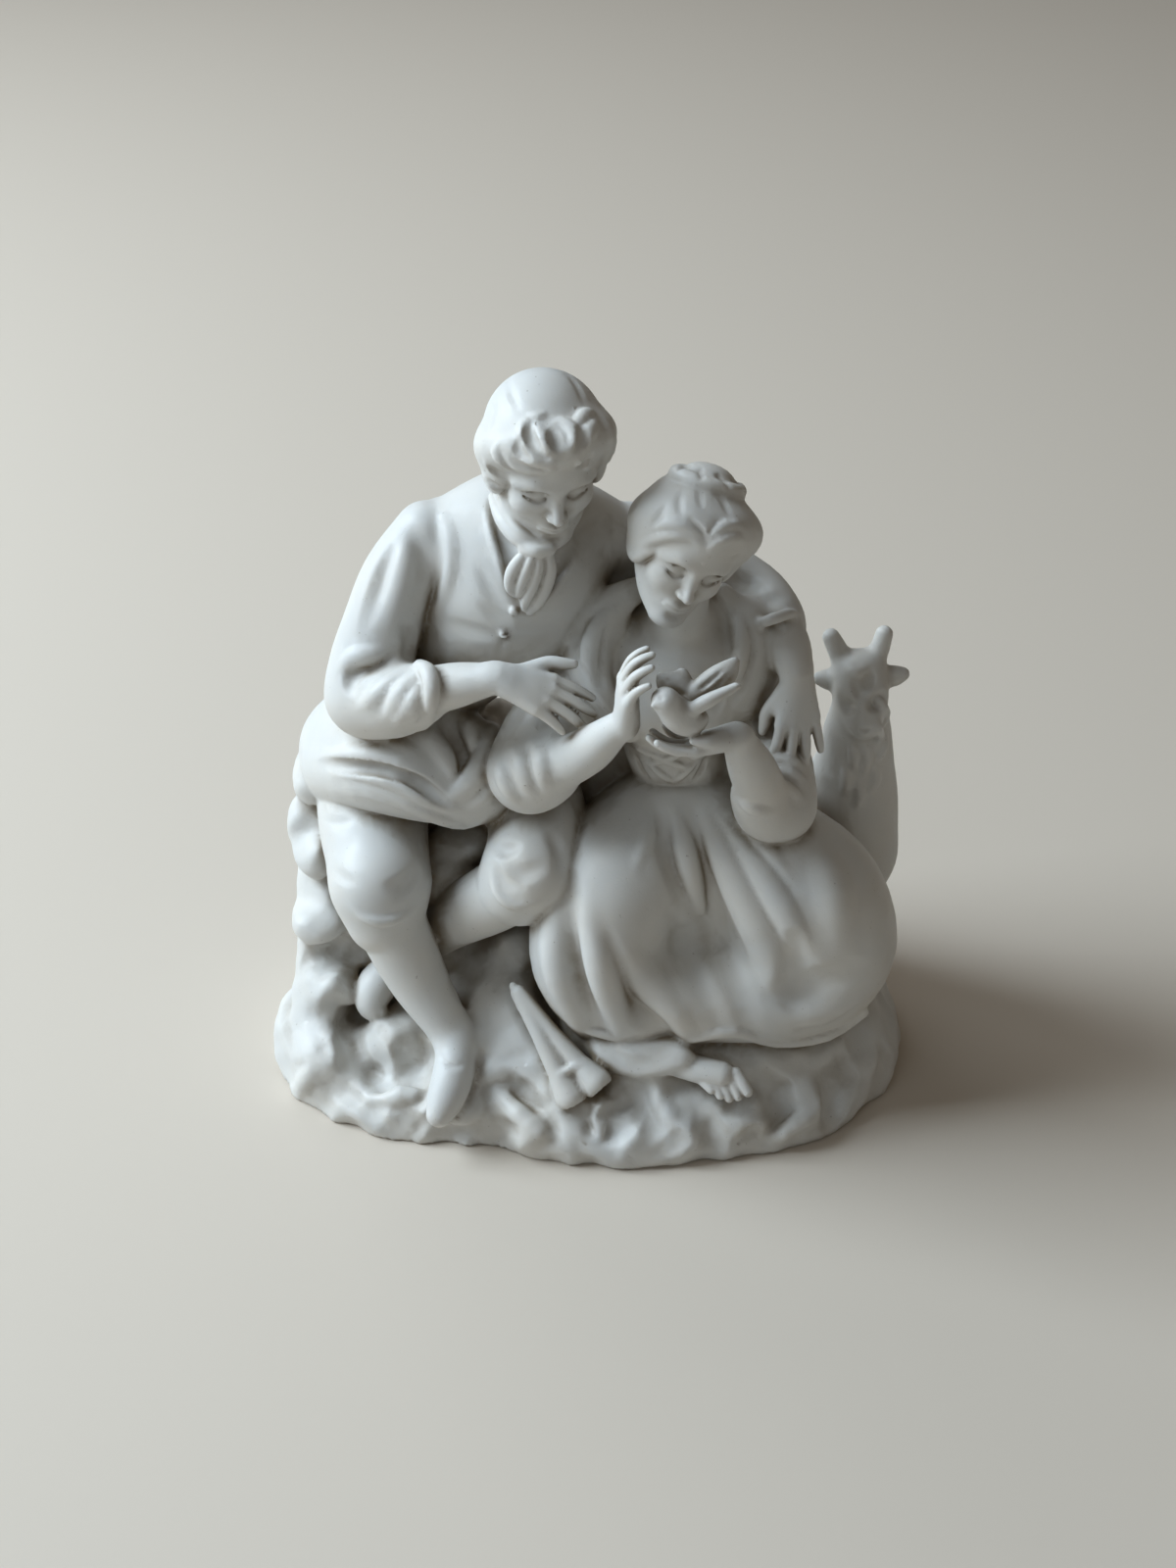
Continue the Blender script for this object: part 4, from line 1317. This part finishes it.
def bisqueTones():  # colour, roughness and height of old unglazed porcelain, from its two masks
    group = bpy.data.node_groups.new("bisque tones", "ShaderNodeTree")
    for name in ("Hollow", "Sheltered"):
        group.interface.new_socket(name=name, in_out="INPUT", socket_type="NodeSocketFloat")
    group.interface.new_socket(name="Colour", in_out="OUTPUT", socket_type="NodeSocketColor")
    for name in ("Roughness", "Height"):
        group.interface.new_socket(name=name, in_out="OUTPUT", socket_type="NodeSocketFloat")
    nodes, links = group.nodes, group.links
    given, result = nodes.new("NodeGroupInput"), nodes.new("NodeGroupOutput")
    place = nodes.new("ShaderNodeTexCoord").outputs["Object"]

    def noise(scale, detail=3.0):
        node = nodes.new("ShaderNodeTexNoise")
        node.inputs["Scale"].default_value = scale
        node.inputs["Detail"].default_value = detail
        links.new(place, node.inputs["Vector"])
        return node.outputs["Fac"]

    def ranged(value, low, high, least=0.0, most=1.0):
        node = nodes.new("ShaderNodeMapRange")
        for name, number in zip(("From Min", "From Max", "To Min", "To Max"), (low, high, least, most)):
            node.inputs[name].default_value = number
        links.new(value, node.inputs["Value"])
        return node.outputs["Result"]

    def times(a, b):
        node = nodes.new("ShaderNodeMath")
        node.operation = "MULTIPLY"
        links.new(a, node.inputs[0])
        links.new(b, node.inputs[1])
        return node.outputs["Value"]

    def mixed(factor, a, b):
        node = nodes.new("ShaderNodeMix")
        node.data_type = "RGBA"
        links.new(factor, node.inputs["Factor"])
        for value, socket in ((a, node.inputs["A"]), (b, node.inputs["B"])):
            if isinstance(value, tuple):
                socket.default_value = value
            else:
                links.new(value, socket)
        return node.outputs["Result"]

    patches = noise(55, 4.0)
    tone = mixed(ranged(patches, 0.35, 0.65), bisqueLook["body"], bisqueLook["cool"])
    sheltered = ranged(given.outputs["Sheltered"], 0.4, 0.9, 0, 0.9)
    dusty = times(sheltered, ranged(noise(160, 5.0), 0.3, 0.6, 0.55, 1))
    tone = mixed(dusty, tone, bisqueLook["dust"])
    hollow = ranged(given.outputs["Hollow"], 0.12, 0.8, 0, 0.9)
    grimy = times(hollow, ranged(noise(420, 4.0), 0.3, 0.6, 0.6, 1))
    tone = mixed(grimy, tone, bisqueLook["toning"])
    tone = mixed(ranged(noise(1500, 2.0), 0.72, 0.8, 0, 0.6), tone, bisqueLook["speck"])
    links.new(tone, result.inputs["Colour"])
    links.new(ranged(noise(300), 0.3, 0.7, *bisqueLook["roughness"]), result.inputs["Roughness"])
    links.new(noise(2600, 4.0), result.inputs["Height"])
    return group


def bisqueMaterial():
    mat = bpy.data.materials.new("bisque porcelain")
    mat.use_nodes = True
    nodes, links = mat.node_tree.nodes, mat.node_tree.links
    shader = nodes["Principled BSDF"]
    tones = nodes.new("ShaderNodeGroup")
    tones.node_tree = bisqueTones()
    for name, socket in (("hollow", "Hollow"), ("sheltered", "Sheltered")):
        mask = nodes.new("ShaderNodeAttribute")
        mask.attribute_name = name
        links.new(mask.outputs["Fac"], tones.inputs[socket])
    links.new(tones.outputs["Colour"], shader.inputs["Base Color"])
    links.new(tones.outputs["Roughness"], shader.inputs["Roughness"])
    bump = nodes.new("ShaderNodeBump")
    bump.inputs["Strength"].default_value = bisqueLook["grainStrength"]
    bump.inputs["Distance"].default_value = bisqueLook["grainHeight"]
    links.new(tones.outputs["Height"], bump.inputs["Height"])
    links.new(bump.outputs["Normal"], shader.inputs["Normal"])
    shader.inputs["Subsurface Weight"].default_value = bisqueLook["glow"]
    shader.inputs["Subsurface Radius"].default_value = bisqueLook["glowRadius"]
    shader.inputs["Subsurface Scale"].default_value = bisqueLook["glowScale"]
    return mat


figurine.data.materials.clear()
figurine.data.materials.append(bisqueMaterial())
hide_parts("bisque_figurine")
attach(figurine, "root")


# Camera, floor and light

view = {
    "lensPixels": 2300,   # focal length in pixels of the photograph
    "pitch": 33.0,        # degrees down
    "distance": 0.440,
    "rise": 0.0503,       # of the sight line over the middle of the underside
    "frame": (1200, 1600),
}

studio = {
    "floor": (0.62, 0.55, 0.47, 1), "room": (1.0, 0.88, 0.72, 1), "roomStrength": 0.13,
    "aim": (0, 0, 0.06),
    "lamps": {  # place, size, power and tint
        "window": ((-0.88, 0.06, 0.74), 0.7, 19.5, (0.76, 0.89, 1.0)),
        "sky behind": ((-0.5, 0.8, 0.8), 0.6, 2, (0.88, 0.95, 1.0)),
        "sky in front": ((-0.5, -0.95, 0.8), 1.0, 1.6, (0.72, 0.87, 1.0)),
    },
}


def photoCamera():
    data = bpy.data.cameras.new("camera")
    cam = bpy.data.objects.new("camera", data)
    bpy.context.scene.collection.objects.link(cam)
    data.sensor_fit = "AUTO"
    data.sensor_width = 36
    data.lens = view["lensPixels"] / view["frame"][1] * data.sensor_width
    data.clip_start, data.clip_end = 0.01, 20
    pitch = math.radians(view["pitch"])
    forward = Vector((0, math.cos(pitch), -math.sin(pitch)))
    up = Vector((0, math.sin(pitch), math.cos(pitch)))
    cam.location = shift - forward * view["distance"] + up * view["rise"]
    cam.rotation_euler = (math.pi / 2 - pitch, 0, 0)
    bpy.context.scene.camera = cam


def plainStudio():
    bpy.ops.mesh.primitive_plane_add(size=8, location=(0, 0, -0.0002))
    floor = bpy.context.object
    floor.name = "floor"
    mat = bpy.data.materials.new("pale floor")
    mat.use_nodes = True
    shader = mat.node_tree.nodes["Principled BSDF"]
    shader.inputs["Base Color"].default_value = studio["floor"]
    shader.inputs["Roughness"].default_value = 0.7
    floor.data.materials.append(mat)
    for name, (place, size, power, tint) in studio["lamps"].items():
        light = bpy.data.lights.new(name, "AREA")
        light.size = size
        light.energy = power
        light.color = tint
        lamp = bpy.data.objects.new(name, light)
        lamp.location = place
        lamp.rotation_euler = (Vector(studio["aim"]) - Vector(place)).to_track_quat("-Z", "Y").to_euler()
        bpy.context.scene.collection.objects.link(lamp)
    world = bpy.data.worlds.new("room")
    bpy.context.scene.world = world
    world.use_nodes = True
    world.node_tree.nodes["Background"].inputs["Color"].default_value = studio["room"]
    world.node_tree.nodes["Background"].inputs["Strength"].default_value = studio["roomStrength"]


photoCamera()
plainStudio()
bpy.context.scene.view_settings.view_transform = "Standard"

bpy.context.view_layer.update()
say("done")
